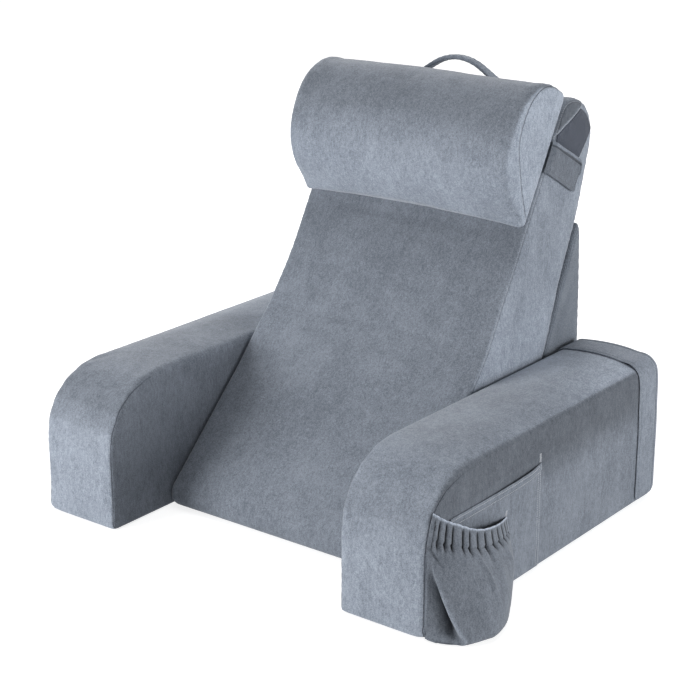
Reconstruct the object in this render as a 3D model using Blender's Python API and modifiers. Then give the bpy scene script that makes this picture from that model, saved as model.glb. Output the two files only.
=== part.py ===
"""A reading pillow with arms: a leaning back cushion on a rear wedge, an arm at each side held by a band,
a half-round head cushion with hook-and-loop tabs, a carry handle, and two pockets on one arm.

Metres. +X is to the right of someone facing the pillow, +Y is to its back, +Z is up.
The origin is on the floor, midway between the arms and 325 mm behind their fronts."""

import math

import bmesh
import bpy
import numpy as np
from mathutils import Vector

# Driving dimensions
SEAT_WIDTH = 0.448  # clear width between the arms
FRONT_Y = -0.325  # the arms' front faces
GAP = 0.0004  # between pieces that touch

ARM_WIDTH = 0.149
ARM_HEIGHT = 0.240
ARM_LENGTH = 0.640
ARM_NOSE_RADIUS = 0.115
ARM_OUTER_EDGE = 0.024
ARM_INNER_EDGE = 0.012
ARM_CROWN = 0.003

BACK_LOW_HALF = 0.2225  # half width between the arms
BACK_HIGH_HALF = 0.2165  # half width above them
BACK_NARROWING = (0.235, 0.36)  # heights between which it narrows
BACK_EDGE = 0.010
BACK_CROWN = 0.006

WEDGE_HALF = 0.2185
WEDGE_EDGE = 0.006
WEDGE_SOFTNESS = 0.4

HEAD_HALF = 0.2175
HEAD_LENGTH = 0.233  # along its flat back
HEAD_THICKNESS = 0.118
HEAD_EDGE = 0.020
HEAD_CROWN = 0.003
HEAD_FOOT_Z = 0.449  # height of its lower edge

TAB_WIDTH = 0.052
TAB_THICKNESS = 0.0022
TAB_START = 0.103  # along the head cushion's flat back
TAB_END_RADIUS = 0.006
PATCH_THICKNESS = 0.0012

BAND_FRONT_Y = 0.251
BAND_WIDTH = 0.058
BAND_THICKNESS = 0.003
BAND_INNER_START = 0.190  # height where it starts on the arm's inner side
BAND_BEND_Z = 0.110  # a point on its straight outer run
BAND_END_Z = 0.008
BAND_END_RADIUS = 0.014

HANDLE_X = -0.0045
HANDLE_Y = 0.290
HANDLE_BASE_Z = 0.6442
HANDLE_TILT = math.radians(6)  # follows the back cushion's round top
CLOTH = 0.002  # thickness of a single pocket cloth

# Outlines in the Y-Z plane: (distance behind the arms' fronts, height, corner radius)
ARM_OUTLINE = [
    (0.0, 0.0, 0.008),
    (ARM_LENGTH, 0.0, 0.008),
    (ARM_LENGTH, ARM_HEIGHT, 0.018),
    (0.0, ARM_HEIGHT, ARM_NOSE_RADIUS),
]
BACK_TOE = (0.087, 0.0, 0.024)
BACK_BEND = (0.380, 0.282, 0.80)
BACK_TOP_FRONT = (0.5865, 0.640, 0.030)
BACK_TOP_REAR = (0.701, 0.645, 0.066)
BACK_REAR_BEND = (0.641, 0.448, 0.30)
BACK_HEEL = (0.432, 0.0, 0.006)
BACK_OUTLINE = [BACK_TOE, BACK_HEEL, BACK_REAR_BEND, BACK_TOP_REAR, BACK_TOP_FRONT, BACK_BEND]
WEDGE_SLIT = 0.0015  # between the back cushion and the wedge
WEDGE_REAR_FOOT = 0.660
WEDGE_REAR_LEAN = 0.035  # how far the rear face comes forward for each metre up
PATCH_OUTLINE = [
    (0.556, 0.545, 0.004),
    (0.616, 0.529, 0.004),
    (0.6668, 0.5835, 0.004),
    (0.6515, 0.6080, 0.006),
    (0.6330, 0.6215, 0.006),
    (0.5660, 0.5893, 0.003),
]


def clear_scene():
    for obj in list(bpy.data.objects):
        bpy.data.objects.remove(obj)


def cloth_material(name, colour, roughness):
    """A matte cloth of one colour."""
    material = bpy.data.materials.new(name)
    material.use_nodes = True
    shader = material.node_tree.nodes["Principled BSDF"]
    shader.inputs["Base Color"].default_value = (*colour, 1.0)
    shader.inputs["Roughness"].default_value = roughness
    shader.inputs["Metallic"].default_value = 0.0
    return material


def add_object(bm, name, material, collection):
    """Links the bmesh as a smooth-shaded object."""
    mesh = bpy.data.meshes.new(name)
    bm.to_mesh(mesh)
    bm.free()
    mesh.materials.append(material)
    mesh.shade_smooth()
    mesh.set_sharp_from_angle(angle=math.radians(40))
    obj = bpy.data.objects.new(name, mesh)
    collection.objects.link(obj)
    return obj


def smooth_step(value, low, high):
    """0 below low, 1 above high, and a smooth rise between."""
    t = min(1.0, max(0.0, (value - low) / (high - low)))
    return t * t * (3 - 2 * t)


# Outlines


def rounded_outline(corners, longest=0.034, arc_angle=18.0):
    """Points round a polygon whose corners (y, z, radius) are arcs, with its straight runs divided."""
    count = len(corners)
    points = []
    for i, (y, z, radius) in enumerate(corners):
        here = Vector((y, z))
        before = (Vector(corners[i - 1][:2]) - here).normalized()
        after = (Vector(corners[(i + 1) % count][:2]) - here).normalized()
        half = before.angle(after) / 2
        centre = here + (before + after).normalized() * (radius / math.sin(half))
        start = here + before * (radius / math.tan(half)) - centre
        turn = math.pi - 2 * half
        side = 1 if before.x * after.y - before.y * after.x < 0 else -1
        steps = max(2, math.ceil(math.degrees(turn) / arc_angle))
        for k in range(steps + 1):
            angle = side * turn * k / steps
            points.append(
                centre
                + Vector(
                    (
                        start.x * math.cos(angle) - start.y * math.sin(angle),
                        start.x * math.sin(angle) + start.y * math.cos(angle),
                    )
                )
            )
    divided = []
    for i, here in enumerate(points):
        after = points[(i + 1) % len(points)]
        parts = max(1, math.ceil((after - here).length / longest))
        divided += [here.lerp(after, k / parts) for k in range(parts)]
    return divided


def outward_normals(outline):
    """Unit normals of a counter-clockwise outline, one for each point."""
    count = len(outline)
    normals = []
    for i in range(count):
        along = (outline[(i + 1) % count] - outline[i - 1]).normalized()
        normals.append(Vector((along.y, -along.x)))
    return normals


def edge_rows(radius, steps=3):
    """(distance in from the end, how far the outline is drawn in) round a quarter circle."""
    angles = [math.pi / 2 * k / steps for k in range(steps + 1)]
    return [(radius * (1 - math.cos(a)), radius * (1 - math.sin(a))) for a in angles]


def close_end(bm, ring):
    """Closes a ring with triangles that each span little height, so that a tapering end stays true."""
    count = len(ring)
    heights = [round(vert.co.z, 5) for vert in ring]
    top = heights.index(max(heights))
    a = b = heights.index(min(heights))
    while True:
        next_a, next_b = (a + 1) % count, (b - 1) % count
        step_a = a != top and (b == top or heights[next_a] <= heights[next_b])
        corner = next_a if step_a else next_b
        if len({a, b, corner}) == 3:
            bm.faces.new((ring[a], ring[corner], ring[b]))
        if step_a:
            a = next_a
        else:
            b = next_b
        if a == b == top:
            return


def loft_cushion(outline, rows, softness, place):
    """One filled solid through copies of an outline across X.

    rows: (x, how far the outline is drawn in). softness(point, normal, drawn) scales that for
    each point. place(x, y, z) gives the final point."""
    normals = outward_normals(outline)
    bm = bmesh.new()
    rings = []
    for x, drawn in rows:
        ring = []
        for point, normal in zip(outline, normals):
            y, z = point - normal * drawn * softness(point, normal, drawn)
            ring.append(bm.verts.new(place(x, y, max(0.0, z))))
        rings.append(ring)
    count = len(outline)
    for first, second in zip(rings, rings[1:]):
        for i in range(count):
            j = (i + 1) % count
            bm.faces.new((first[i], first[j], second[j], second[i]))
    close_end(bm, rings[0])
    close_end(bm, rings[-1])
    bmesh.ops.recalc_face_normals(bm, faces=bm.faces)
    return bm


def crowned_rows(low, high, low_edge, high_edge, crown, spans=6):
    """Rows from x low to x high with a round edge at each end and a crown between."""
    rows = [(low + step, drawn) for step, drawn in edge_rows(low_edge)]
    start, end = low + low_edge, high - high_edge
    for k in range(1, spans):
        u = k / spans
        rows.append((start + (end - start) * u, -crown * math.sin(math.pi * u)))
    rows += [(high - step, drawn) for step, drawn in reversed(edge_rows(high_edge))]
    return rows


# Cushions


def arm_softness(point, normal, drawn):
    """The edges are tighter in front and near the floor, and only the top and front are crowned."""
    if drawn < 0:
        return smooth_step(point.y, 0.02, 0.08) * smooth_step(-normal.x + normal.y, 0.0, 0.4)
    low = 0.3 + 0.7 * smooth_step(point.y, 0.0, 0.05)
    return low * (1 - 0.6 * smooth_step(-normal.x, 0.3, 0.95))


def make_arm(name, side, material, collection):
    """An arm: a foam block with a big round nose. side is 1 for the right arm and -1 for the left."""
    inner = SEAT_WIDTH / 2
    rows = crowned_rows(inner, inner + ARM_WIDTH, ARM_INNER_EDGE, ARM_OUTER_EDGE, ARM_CROWN)
    bm = loft_cushion(
        rounded_outline(ARM_OUTLINE),
        rows,
        arm_softness,
        lambda x, y, z: (side * x, y + FRONT_Y, z),
    )
    return add_object(bm, name, material, collection)


def back_half_width(z):
    """The back cushion is narrower above the arms."""
    return BACK_LOW_HALF + (BACK_HIGH_HALF - BACK_LOW_HALF) * smooth_step(z, *BACK_NARROWING)


def back_softness(point, normal, drawn):
    """Crowned in front where nothing presses on it and a little on its top, and tighter at the floor."""
    height = point.y
    if drawn < 0:
        in_front = smooth_step(-normal.x, 0.2, 0.5)
        free = smooth_step(height, 0.01, 0.10) * (1 - smooth_step(height, 0.38, 0.45))
        return in_front * free + 0.6 * smooth_step(normal.y, 0.7, 0.95)
    return 0.5 + 0.5 * smooth_step(height, 0.0, 0.05)


def make_back(material, collection):
    """The leaning back cushion, with a bend in its front and a round top."""
    edge = BACK_EDGE / BACK_LOW_HALF  # as a share of the half width, like the rows' x
    rows = crowned_rows(-1.0, 1.0, edge, edge, 1.0, spans=8)
    rows = [(x, drawn * (BACK_LOW_HALF if drawn > 0 else BACK_CROWN)) for x, drawn in rows]
    bm = loft_cushion(
        rounded_outline(BACK_OUTLINE),
        rows,
        back_softness,
        lambda x, y, z: (x * back_half_width(z), y + FRONT_Y, z),
    )
    return add_object(bm, "back_cushion", material, collection)


def make_wedge(material, collection):
    """The rear wedge that the back cushion leans on."""
    heel = Vector(BACK_HEEL[:2])
    bend = Vector(BACK_REAR_BEND[:2])
    up = (bend - heel).normalized()
    foot_y = heel.x + WEDGE_SLIT / up.y
    tip_z = (WEDGE_REAR_FOOT - foot_y) / (up.x / up.y + WEDGE_REAR_LEAN)
    tip_y = WEDGE_REAR_FOOT - WEDGE_REAR_LEAN * tip_z
    outline = rounded_outline(
        [
            (foot_y, 0.0, 0.002),
            (WEDGE_REAR_FOOT, 0.0, 0.010),
            (tip_y, tip_z, 0.005),
        ]
    )
    rows = crowned_rows(-WEDGE_HALF, WEDGE_HALF, WEDGE_EDGE, WEDGE_EDGE, 0.0, spans=2)
    bm = loft_cushion(
        outline,
        rows,
        lambda point, normal, drawn: WEDGE_SOFTNESS,
        lambda x, y, z: (x, y + FRONT_Y, z),
    )
    return add_object(bm, "rear_wedge", material, collection)


# The head cushion lies on the straight upper front of the back cushion.
LEAN = (Vector(BACK_TOP_FRONT[:2]) - Vector(BACK_BEND[:2])).normalized()  # up along the slope
OUT = Vector((-LEAN.y, LEAN.x))  # away from the slope
HEAD_FOOT = Vector(BACK_BEND[:2]) + LEAN * ((HEAD_FOOT_Z - BACK_BEND[1]) / LEAN.y) + OUT * GAP


def on_slope(along, out):
    """(y, z) of a point measured along the head cushion's flat back and out from it."""
    return HEAD_FOOT + LEAN * along + OUT * out


# The head cushion's section: (along its flat back, out from it, corner radius)
HEAD_OUTLINE = [
    (HEAD_LENGTH, 0.0, 0.014),
    (HEAD_LENGTH, HEAD_THICKNESS, 0.090),
    (0.055, HEAD_THICKNESS, 0.100),
    (0.0, 0.0, 0.010),
]


def head_softness(point, normal, drawn):
    """Crowned and well rounded in front, tighter along its top and its flat back."""
    forward = smooth_step(normal.dot(OUT), 0.1, 0.8)
    return forward if drawn < 0 else 0.3 + 0.7 * forward


def make_headrest(material, collection):
    """The half-round head cushion, with a flat back and a narrow lower edge."""
    outline = rounded_outline(HEAD_OUTLINE, longest=0.03, arc_angle=13.0)
    turned = [on_slope(point.x, point.y) for point in outline]
    rows = crowned_rows(-HEAD_HALF, HEAD_HALF, HEAD_EDGE, HEAD_EDGE, HEAD_CROWN)
    bm = loft_cushion(turned, rows, head_softness, lambda x, y, z: (x, y + FRONT_Y, z))
    return add_object(bm, "headrest", material, collection)


# Straps and tabs


def strip(path, across, thickness, side, round_end, name, material, collection):
    """A band of cloth along path, across wide, with its far end's corners rounded.

    Its outer face is on the right of the path for side 1 and on the left for side -1."""
    bm = bmesh.new()
    rows = [(bm.verts.new(p), bm.verts.new(Vector(p) + Vector(across))) for p in path]
    for (a, b), (c, d) in zip(rows, rows[1:]):
        bm.faces.new((a, c, d, b) if side > 0 else (a, b, d, c))
    bmesh.ops.bevel(
        bm,
        geom=list(rows[-1]),
        offset=round_end,
        segments=4,
        profile=0.5,
        affect="VERTICES",
    )
    obj = add_object(bm, name, material, collection)
    solidify = obj.modifiers.new("cloth thickness", "SOLIDIFY")
    solidify.thickness = thickness
    solidify.offset = 1.0
    solidify.use_even_offset = True
    return obj


# The tabs' route: (in from where they lie flat, out from the slope)
TAB_ROUTE = [
    (0.0059, -0.0016),
    (0.0022, -0.0045),
    (0.0, -0.0095),
    (0.0, -0.050),
    (0.0, -0.096),
]


def make_tab(name, side, material, collection):
    """A tab from the head cushion's back edge, lying along the back cushion's side."""
    flat = BACK_HIGH_HALF + PATCH_THICKNESS + 3 * GAP
    path = []
    for inset, out in TAB_ROUTE:
        y, z = on_slope(TAB_START, out)
        path.append((side * (flat - inset), y + FRONT_Y, z))
    across = (0.0, LEAN.x * TAB_WIDTH, LEAN.y * TAB_WIDTH)
    return strip(path, across, TAB_THICKNESS, side, TAB_END_RADIUS, name, material, collection)


def make_patch(name, side, material, collection):
    """The loop strip that the tab sticks to, sewn to the back cushion's side."""
    outline = rounded_outline(PATCH_OUTLINE, longest=1.0, arc_angle=30.0)
    curve = bpy.data.curves.new(name, "CURVE")
    curve.dimensions = "2D"
    curve.fill_mode = "BOTH"
    curve.extrude = PATCH_THICKNESS / 2
    spline = curve.splines.new("POLY")
    spline.points.add(len(outline) - 1)
    for point, (y, z) in zip(spline.points, outline):
        point.co = (y, z, 0.0, 1.0)
    spline.use_cyclic_u = True
    curve.materials.append(material)
    obj = bpy.data.objects.new(name, curve)
    obj.rotation_euler = (math.pi / 2, 0.0, math.pi / 2)
    obj.location = (side * (BACK_HIGH_HALF + GAP + PATCH_THICKNESS / 2), FRONT_Y, 0.0)
    collection.objects.link(obj)
    return obj


def arm_top(x):
    """Height of an arm's top at a distance x from the middle, crown included."""
    start = SEAT_WIDTH / 2 + ARM_INNER_EDGE
    end = SEAT_WIDTH / 2 + ARM_WIDTH - ARM_OUTER_EDGE
    u = min(1.0, max(0.0, (x - start) / (end - start)))
    return ARM_HEIGHT + ARM_CROWN * math.sin(math.pi * u)


def make_band(name, side, material, collection):
    """The band from the rear wedge's side over the arm and down its outer side."""
    clear = 2 * GAP
    inner = SEAT_WIDTH / 2
    outer = inner + ARM_WIDTH
    path = [(inner - clear, BAND_INNER_START)]
    for k in range(5):
        angle = math.pi / 2 * k / 4
        radius = ARM_INNER_EDGE + clear
        x = inner + ARM_INNER_EDGE - radius * math.cos(angle)
        path.append((x, ARM_HEIGHT - ARM_INNER_EDGE + radius * math.sin(angle)))
    top_start = inner + ARM_INNER_EDGE
    top_end = outer - ARM_OUTER_EDGE
    for k in range(1, 6):
        x = top_start + (top_end - top_start) * k / 6
        path.append((x, arm_top(x) + clear))
    for k in range(7):
        angle = math.pi / 2 * (1 - k / 6)
        radius = ARM_OUTER_EDGE + clear
        x = outer - ARM_OUTER_EDGE + radius * math.cos(angle)
        path.append((x, ARM_HEIGHT - ARM_OUTER_EDGE + radius * math.sin(angle)))
    path += [(outer + clear, BAND_BEND_Z), (outer + clear, BAND_END_Z)]
    points = [(side * x, BAND_FRONT_Y, z) for x, z in path]
    across = (0.0, BAND_WIDTH, 0.0)
    return strip(points, across, BAND_THICKNESS, side, BAND_END_RADIUS, name, material, collection)


# (distance from the middle, height above the cushion, width, thickness)
HANDLE_SECTIONS = [
    (0.098, 0.0020, 0.030, 0.0030),
    (0.090, 0.0020, 0.030, 0.0032),
    (0.078, 0.0050, 0.028, 0.0040),
    (0.066, 0.0120, 0.024, 0.0055),
    (0.052, 0.0210, 0.020, 0.0070),
    (0.036, 0.0305, 0.018, 0.0080),
    (0.018, 0.0365, 0.018, 0.0084),
    (0.0, 0.0385, 0.018, 0.0084),
]
HANDLE_SQUARENESS = 0.6  # of its section: 1 is an ellipse, less is squarer


def squared(value):
    return math.copysign(abs(value) ** HANDLE_SQUARENESS, value)


def make_handle(material, collection):
    """The carry handle: a strap sewn flat at both ends and rolled into a grip between them."""
    half = [(-x, up, width, thick) for x, up, width, thick in HANDLE_SECTIONS]
    sections = half + [(-x, up, width, thick) for x, up, width, thick in reversed(half[:-1])]
    across = Vector((0.0, math.cos(HANDLE_TILT), -math.sin(HANDLE_TILT)))
    bm = bmesh.new()
    rings = []
    for i, (x, up, width, thick) in enumerate(sections):
        before = sections[max(0, i - 1)]
        after = sections[min(len(sections) - 1, i + 1)]
        along = Vector((after[0] - before[0], 0.0, after[1] - before[1])).normalized()
        normal = Vector((-along.z, 0.0, along.x))
        centre = Vector((x + HANDLE_X, HANDLE_Y, HANDLE_BASE_Z + up))
        ring = []
        for k in range(8):
            angle = math.pi * (2 * k + 1) / 8
            wide = squared(math.cos(angle)) * width / 2
            high = squared(math.sin(angle)) * thick / 2
            ring.append(bm.verts.new(centre + across * wide + normal * high))
        rings.append(ring)
    for first, second in zip(rings, rings[1:]):
        for i in range(8):
            j = (i + 1) % 8
            bm.faces.new((first[i], first[j], second[j], second[i]))
    bm.faces.new(rings[0])
    bm.faces.new(rings[-1])
    bmesh.ops.recalc_face_normals(bm, faces=bm.faces)
    return add_object(bm, "carry_handle", material, collection)


# Pockets, on the right arm's outer side

POCKET_X = SEAT_WIDTH / 2 + ARM_WIDTH + GAP
FLAT_POCKET_FRONT = 0.056
FLAT_POCKET_REAR = 0.288
FLAT_POCKET_TOP = 0.171
FLAT_POCKET_BOTTOM = 0.006
FLAT_POCKET_SLACK = 0.0022  # how far the rear end of its mouth stands off
BOTTLE_X = POCKET_X + CLOTH + GAP

# Bottle pocket: nine stations from its front seam to its rear seam.
# For each row: (share of the way down from mouth to floor, stand-outs, distances behind the arms' fronts)
BOTTLE_ROWS = [
    (
        0.00,
        (0.0, 0.0090, 0.0165, 0.0210, 0.0220, 0.0200, 0.0150, 0.0075, 0.0),
        (0.0215, 0.0380, 0.0590, 0.0810, 0.1050, 0.1280, 0.1510, 0.1730, 0.1930),
    ),
    (
        0.19,
        (0.0, 0.0110, 0.0200, 0.0250, 0.0265, 0.0250, 0.0200, 0.0120, 0.0),
        (0.0100, 0.0300, 0.0530, 0.0780, 0.1040, 0.1290, 0.1540, 0.1770, 0.1990),
    ),
    (
        0.42,
        (0.0, 0.0180, 0.0370, 0.0490, 0.0530, 0.0500, 0.0385, 0.0220, 0.0),
        (0.0060, 0.0170, 0.0380, 0.0660, 0.0950, 0.1240, 0.1530, 0.1800, 0.2060),
    ),
    (
        0.70,
        (0.0, 0.0290, 0.0550, 0.0695, 0.0710, 0.0620, 0.0445, 0.0230, 0.0),
        (0.0050, 0.0075, 0.0235, 0.0515, 0.0840, 0.1160, 0.1470, 0.1780, 0.2100),
    ),
    (
        0.94,
        (0.0, 0.0345, 0.0630, 0.0755, 0.0690, 0.0550, 0.0375, 0.0190, 0.0),
        (0.0040, 0.0072, 0.0265, 0.0585, 0.0925, 0.1245, 0.1540, 0.1835, 0.2130),
    ),
]
BOTTLE_MOUTH_Z = (0.1860, 0.1725, 0.1605, 0.1485, 0.1395, 0.1340, 0.1290, 0.1245, 0.1215)
BOTTLE_FLOOR_SHARES = (0.97, 0.86, 0.45, 0.04)  # of the last row's stand-out, on the floor
BOTTLE_FLOOR_Z = 0.0042
BOTTLE_GATHERS = (0.0, 0.075, 0.137, 0.192, 0.285, 0.348, 0.43, 0.52, 0.617, 0.71, 0.8, 0.885, 1.0)
BOTTLE_GATHER_DEPTH = 0.0022
BOTTLE_CASING = 0.19  # way down to the seam under the elastic
BOTTLE_FOLD_DEPTH = 0.026
BOTTLE_FOLD_RIDGE = 0.0040
BOTTLE_COLUMNS = 62
BOTTLE_SPANS = 17


def curve_through(places, values, at):
    """Values of a smooth curve through the given ones, along their first axis."""
    slopes = np.gradient(values, places, axis=0)
    index = np.clip(np.searchsorted(places, at, side="right") - 1, 0, len(places) - 2)
    shape = (-1,) + (1,) * (values.ndim - 1)
    width = (places[index + 1] - places[index]).reshape(shape)
    t = (at - places[index]).reshape(shape) / width
    low = (2 * t**3 - 3 * t**2 + 1) * values[index] + (t**3 - 2 * t**2 + t) * width * slopes[index]
    high = (3 * t**2 - 2 * t**3) * values[index + 1] + (t**3 - t**2) * width * slopes[index + 1]
    return low + high


def smooth_steps(values, low, high):
    """smooth_step for an array."""
    t = np.clip((values - low) / (high - low), 0.0, 1.0)
    return t * t * (3 - 2 * t)


def bottle_surface():
    """Points of the plain pocket, the share across for each column, and the way down for each row."""
    mouth = np.array(BOTTLE_MOUTH_Z)
    table, downs = [], []
    for down, stand_outs, behind in BOTTLE_ROWS:
        z = mouth + (BOTTLE_FLOOR_Z - mouth) * down
        table.append(np.stack([stand_outs, np.array(behind) + FRONT_Y, z], axis=1))
        downs.append(down)
    last = table[-1]
    for share in BOTTLE_FLOOR_SHARES:
        drawn = 0.08 * (1 - share) * (last[:, 1].mean() - last[:, 1])
        floor = np.full(len(mouth), BOTTLE_FLOOR_Z)
        table.append(np.stack([last[:, 0] * share, last[:, 1] + drawn, floor], axis=1))
        downs.append(2.0 - share)
    table = np.array(table)
    steps = np.linalg.norm(np.diff(table[:, len(mouth) // 2], axis=0), axis=1)
    spread = np.concatenate([[0.0], np.cumsum(steps)]) / steps.sum()
    at = np.linspace(0.0, 1.0, BOTTLE_SPANS + 1)
    across = np.linspace(0.0, 1.0, BOTTLE_COLUMNS + 1)
    rows = curve_through(spread, table, at).transpose(1, 0, 2)
    points = curve_through(np.linspace(0.0, 1.0, len(mouth)), rows, across).transpose(1, 0, 2)
    return points, across, curve_through(spread, np.array(downs), at)


def bottle_relief(across, down):
    """Height of the gathers under the elastic and of the slack fold that falls to the front corner."""
    free = smooth_steps(np.minimum(across, 1 - across), 0.0, 0.03)
    phase = np.interp(across, BOTTLE_GATHERS, np.arange(len(BOTTLE_GATHERS)))
    gathered = 1 - smooth_steps(down, BOTTLE_CASING, BOTTLE_CASING + 0.08)
    height = BOTTLE_GATHER_DEPTH * (np.abs(np.sin(math.pi * phase)) - 0.7) * gathered * free
    fall = np.clip((down - 0.30) / 0.65, 0.0, 1.0)
    ridge = 0.012 + 0.193 * fall**0.75
    inside = np.clip(across / ridge, 0.0, 2.0)
    hollow = inside**1.3 * (1 - smooth_steps(inside, 0.72, 1.02))
    deep = smooth_steps(down, 0.34, 0.74) * (1 - 0.85 * smooth_steps(down, 0.86, 1.0))
    height -= BOTTLE_FOLD_DEPTH * hollow * deep
    height += BOTTLE_FOLD_RIDGE * np.exp(-(((across - ridge) / 0.020) ** 2)) * smooth_steps(down, 0.32, 0.55)
    return height * (1 - smooth_steps(down, 1.02, 1.10))


def make_bottle_pocket(material, collection):
    """The gathered bottle pocket: one cloth sewn to the arm along its front, rear and floor edges."""
    points, across, downs = bottle_surface()
    relief = bottle_relief(*np.meshgrid(across, downs))
    normals = np.cross(np.gradient(points, axis=0), np.gradient(points, axis=1))
    normals /= np.linalg.norm(normals, axis=2, keepdims=True)
    points = points + normals * relief[:, :, None]
    points[:, :, 0] = BOTTLE_X + np.maximum(points[:, :, 0], 0.0)
    points[:, :, 2] = np.maximum(points[:, :, 2], BOTTLE_FLOOR_Z)
    bm = bmesh.new()
    grid = [[bm.verts.new(point) for point in row] for row in points.tolist()]
    for first, second in zip(grid, grid[1:]):
        for i in range(BOTTLE_COLUMNS):
            bm.faces.new((first[i], second[i], second[i + 1], first[i + 1]))
    obj = add_object(bm, "bottle_pocket", material, collection)
    solidify = obj.modifiers.new("cloth thickness", "SOLIDIFY")
    solidify.thickness = CLOTH
    solidify.offset = 1.0
    return obj


def make_flat_pocket(material, collection):
    """The flat pocket: a cloth sewn down at its front, rear and floor edges, its mouth a little slack."""
    rows, columns = 6, 12
    bm = bmesh.new()
    grid = []
    for r in range(rows + 1):
        row = []
        for c in range(columns + 1):
            u = c / columns
            y = FLAT_POCKET_FRONT + (FLAT_POCKET_REAR - FLAT_POCKET_FRONT) * u
            z = FLAT_POCKET_BOTTOM + (FLAT_POCKET_TOP - FLAT_POCKET_BOTTOM) * r / rows
            loose = smooth_step(u, 0.76, 0.86) * (1 - smooth_step(u, 0.92, 1.0))
            slack = FLAT_POCKET_SLACK * loose * smooth_step(z, 0.10, FLAT_POCKET_TOP)
            row.append(bm.verts.new((POCKET_X + slack, y + FRONT_Y, z)))
        grid.append(row)
    for first, second in zip(grid, grid[1:]):
        for c in range(columns):
            bm.faces.new((first[c], first[c + 1], second[c + 1], second[c]))
    obj = add_object(bm, "flat_pocket", material, collection)
    solidify = obj.modifiers.new("cloth thickness", "SOLIDIFY")
    solidify.thickness = CLOTH
    solidify.offset = 1.0
    return obj


def main():
    clear_scene()
    collection = bpy.data.collections.new("reading_pillow")
    bpy.context.scene.collection.children.link(collection)
    suede = cloth_material("suede_cloth", (0.215, 0.245, 0.285), 0.85)
    knit = cloth_material("side_knit", (0.175, 0.205, 0.235), 0.95)
    loop = cloth_material("loop_fastener", (0.095, 0.110, 0.135), 1.0)

    make_back(suede, collection)
    make_wedge(knit, collection)
    make_headrest(suede, collection)
    for side, word in ((-1, "left"), (1, "right")):
        make_arm("arm_" + word, side, suede, collection)
        make_band("arm_band_" + word, side, suede, collection)
        make_patch("loop_patch_" + word, side, loop, collection)
        make_tab("headrest_tab_" + word, side, suede, collection)
    make_handle(suede, collection)
    make_flat_pocket(suede, collection)
    make_bottle_pocket(suede, collection)


main()
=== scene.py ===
import math

import bpy
import numpy as np
from mathutils import Matrix, Vector, kdtree, noise


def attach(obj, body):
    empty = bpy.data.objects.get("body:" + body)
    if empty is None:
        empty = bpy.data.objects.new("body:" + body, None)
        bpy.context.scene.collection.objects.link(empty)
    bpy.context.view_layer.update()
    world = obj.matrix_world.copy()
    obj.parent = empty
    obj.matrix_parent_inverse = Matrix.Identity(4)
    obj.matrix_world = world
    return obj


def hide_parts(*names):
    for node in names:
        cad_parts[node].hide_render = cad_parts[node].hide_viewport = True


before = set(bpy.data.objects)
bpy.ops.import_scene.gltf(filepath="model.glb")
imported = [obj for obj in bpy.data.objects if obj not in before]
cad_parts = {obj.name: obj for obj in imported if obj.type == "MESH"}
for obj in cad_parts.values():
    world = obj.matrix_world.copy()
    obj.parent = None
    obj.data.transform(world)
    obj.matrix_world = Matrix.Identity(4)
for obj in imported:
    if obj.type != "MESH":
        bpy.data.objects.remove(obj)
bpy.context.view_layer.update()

# sizes are in metres; the pillow stands on z = 0 and faces -Y
scene = bpy.context.scene
floorClear = 0.0003


def deselectAll():
    for obj in list(bpy.context.selected_objects):
        obj.select_set(False)
    bpy.context.view_layer.objects.active = None


def pick(obj):
    deselectAll()
    obj.select_set(True)
    bpy.context.view_layer.objects.active = obj


def applyAll(obj):
    pick(obj)
    for modifier in list(obj.modifiers):
        bpy.ops.object.modifier_apply(modifier=modifier.name)


def readVectors(items, key):
    flat = np.empty(len(items) * 3, dtype=np.float32)
    items.foreach_get(key, flat)
    return flat.reshape(-1, 3).astype(float)


def readPoints(obj):
    return readVectors(obj.data.vertices, "co")


def readNormals(obj):
    return readVectors(obj.data.vertex_normals, "vector")


def writePoints(obj, points):
    obj.data.vertices.foreach_set("co", points.astype(np.float32).ravel())
    obj.data.update()


def ramp(value, low, high):
    t = np.clip((np.asarray(value, dtype=float) - low) / (high - low), 0.0, 1.0)
    return t * t * (3 - 2 * t)


def bell(value, width):
    return np.exp(-((np.asarray(value, dtype=float) / width) ** 2))


def softNoise(points, size, seed):
    shift = Vector((seed * 3.1, seed * 1.7, seed * 2.3))
    return np.array([noise.noise(Vector(p) / size + shift) for p in points])


def addAttribute(obj, name, values):
    kind = "FLOAT_VECTOR" if values.ndim == 2 else "FLOAT"
    attribute = obj.data.attributes.new(name, kind, "POINT")
    attribute.data.foreach_set("vector" if values.ndim == 2 else "value", values.astype(np.float32).ravel())


def copyNode(nodeName, name):
    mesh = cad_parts[nodeName].data.copy()
    mesh.materials.clear()
    obj = bpy.data.objects.new(name, mesh)
    scene.collection.objects.link(obj)
    pick(obj)
    bpy.ops.object.mode_set(mode="EDIT")
    bpy.ops.mesh.select_all(action="SELECT")
    bpy.ops.mesh.remove_doubles(threshold=0.00001)
    bpy.ops.object.mode_set(mode="OBJECT")
    return obj


def addRemesh(obj, size):
    remesh = obj.modifiers.new("evenMesh", "REMESH")
    remesh.mode = "VOXEL"
    remesh.voxel_size = size


def dress(obj, material, replaced=(), angle=60):
    obj.data.materials.clear()
    obj.data.materials.append(material)
    pick(obj)
    bpy.ops.object.shade_smooth_by_angle(angle=math.radians(angle))
    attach(obj, "root")
    if replaced:
        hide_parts(*replaced)
    print(obj.name, len(obj.data.polygons), "faces")
    return obj


# camera, light and floor

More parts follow.
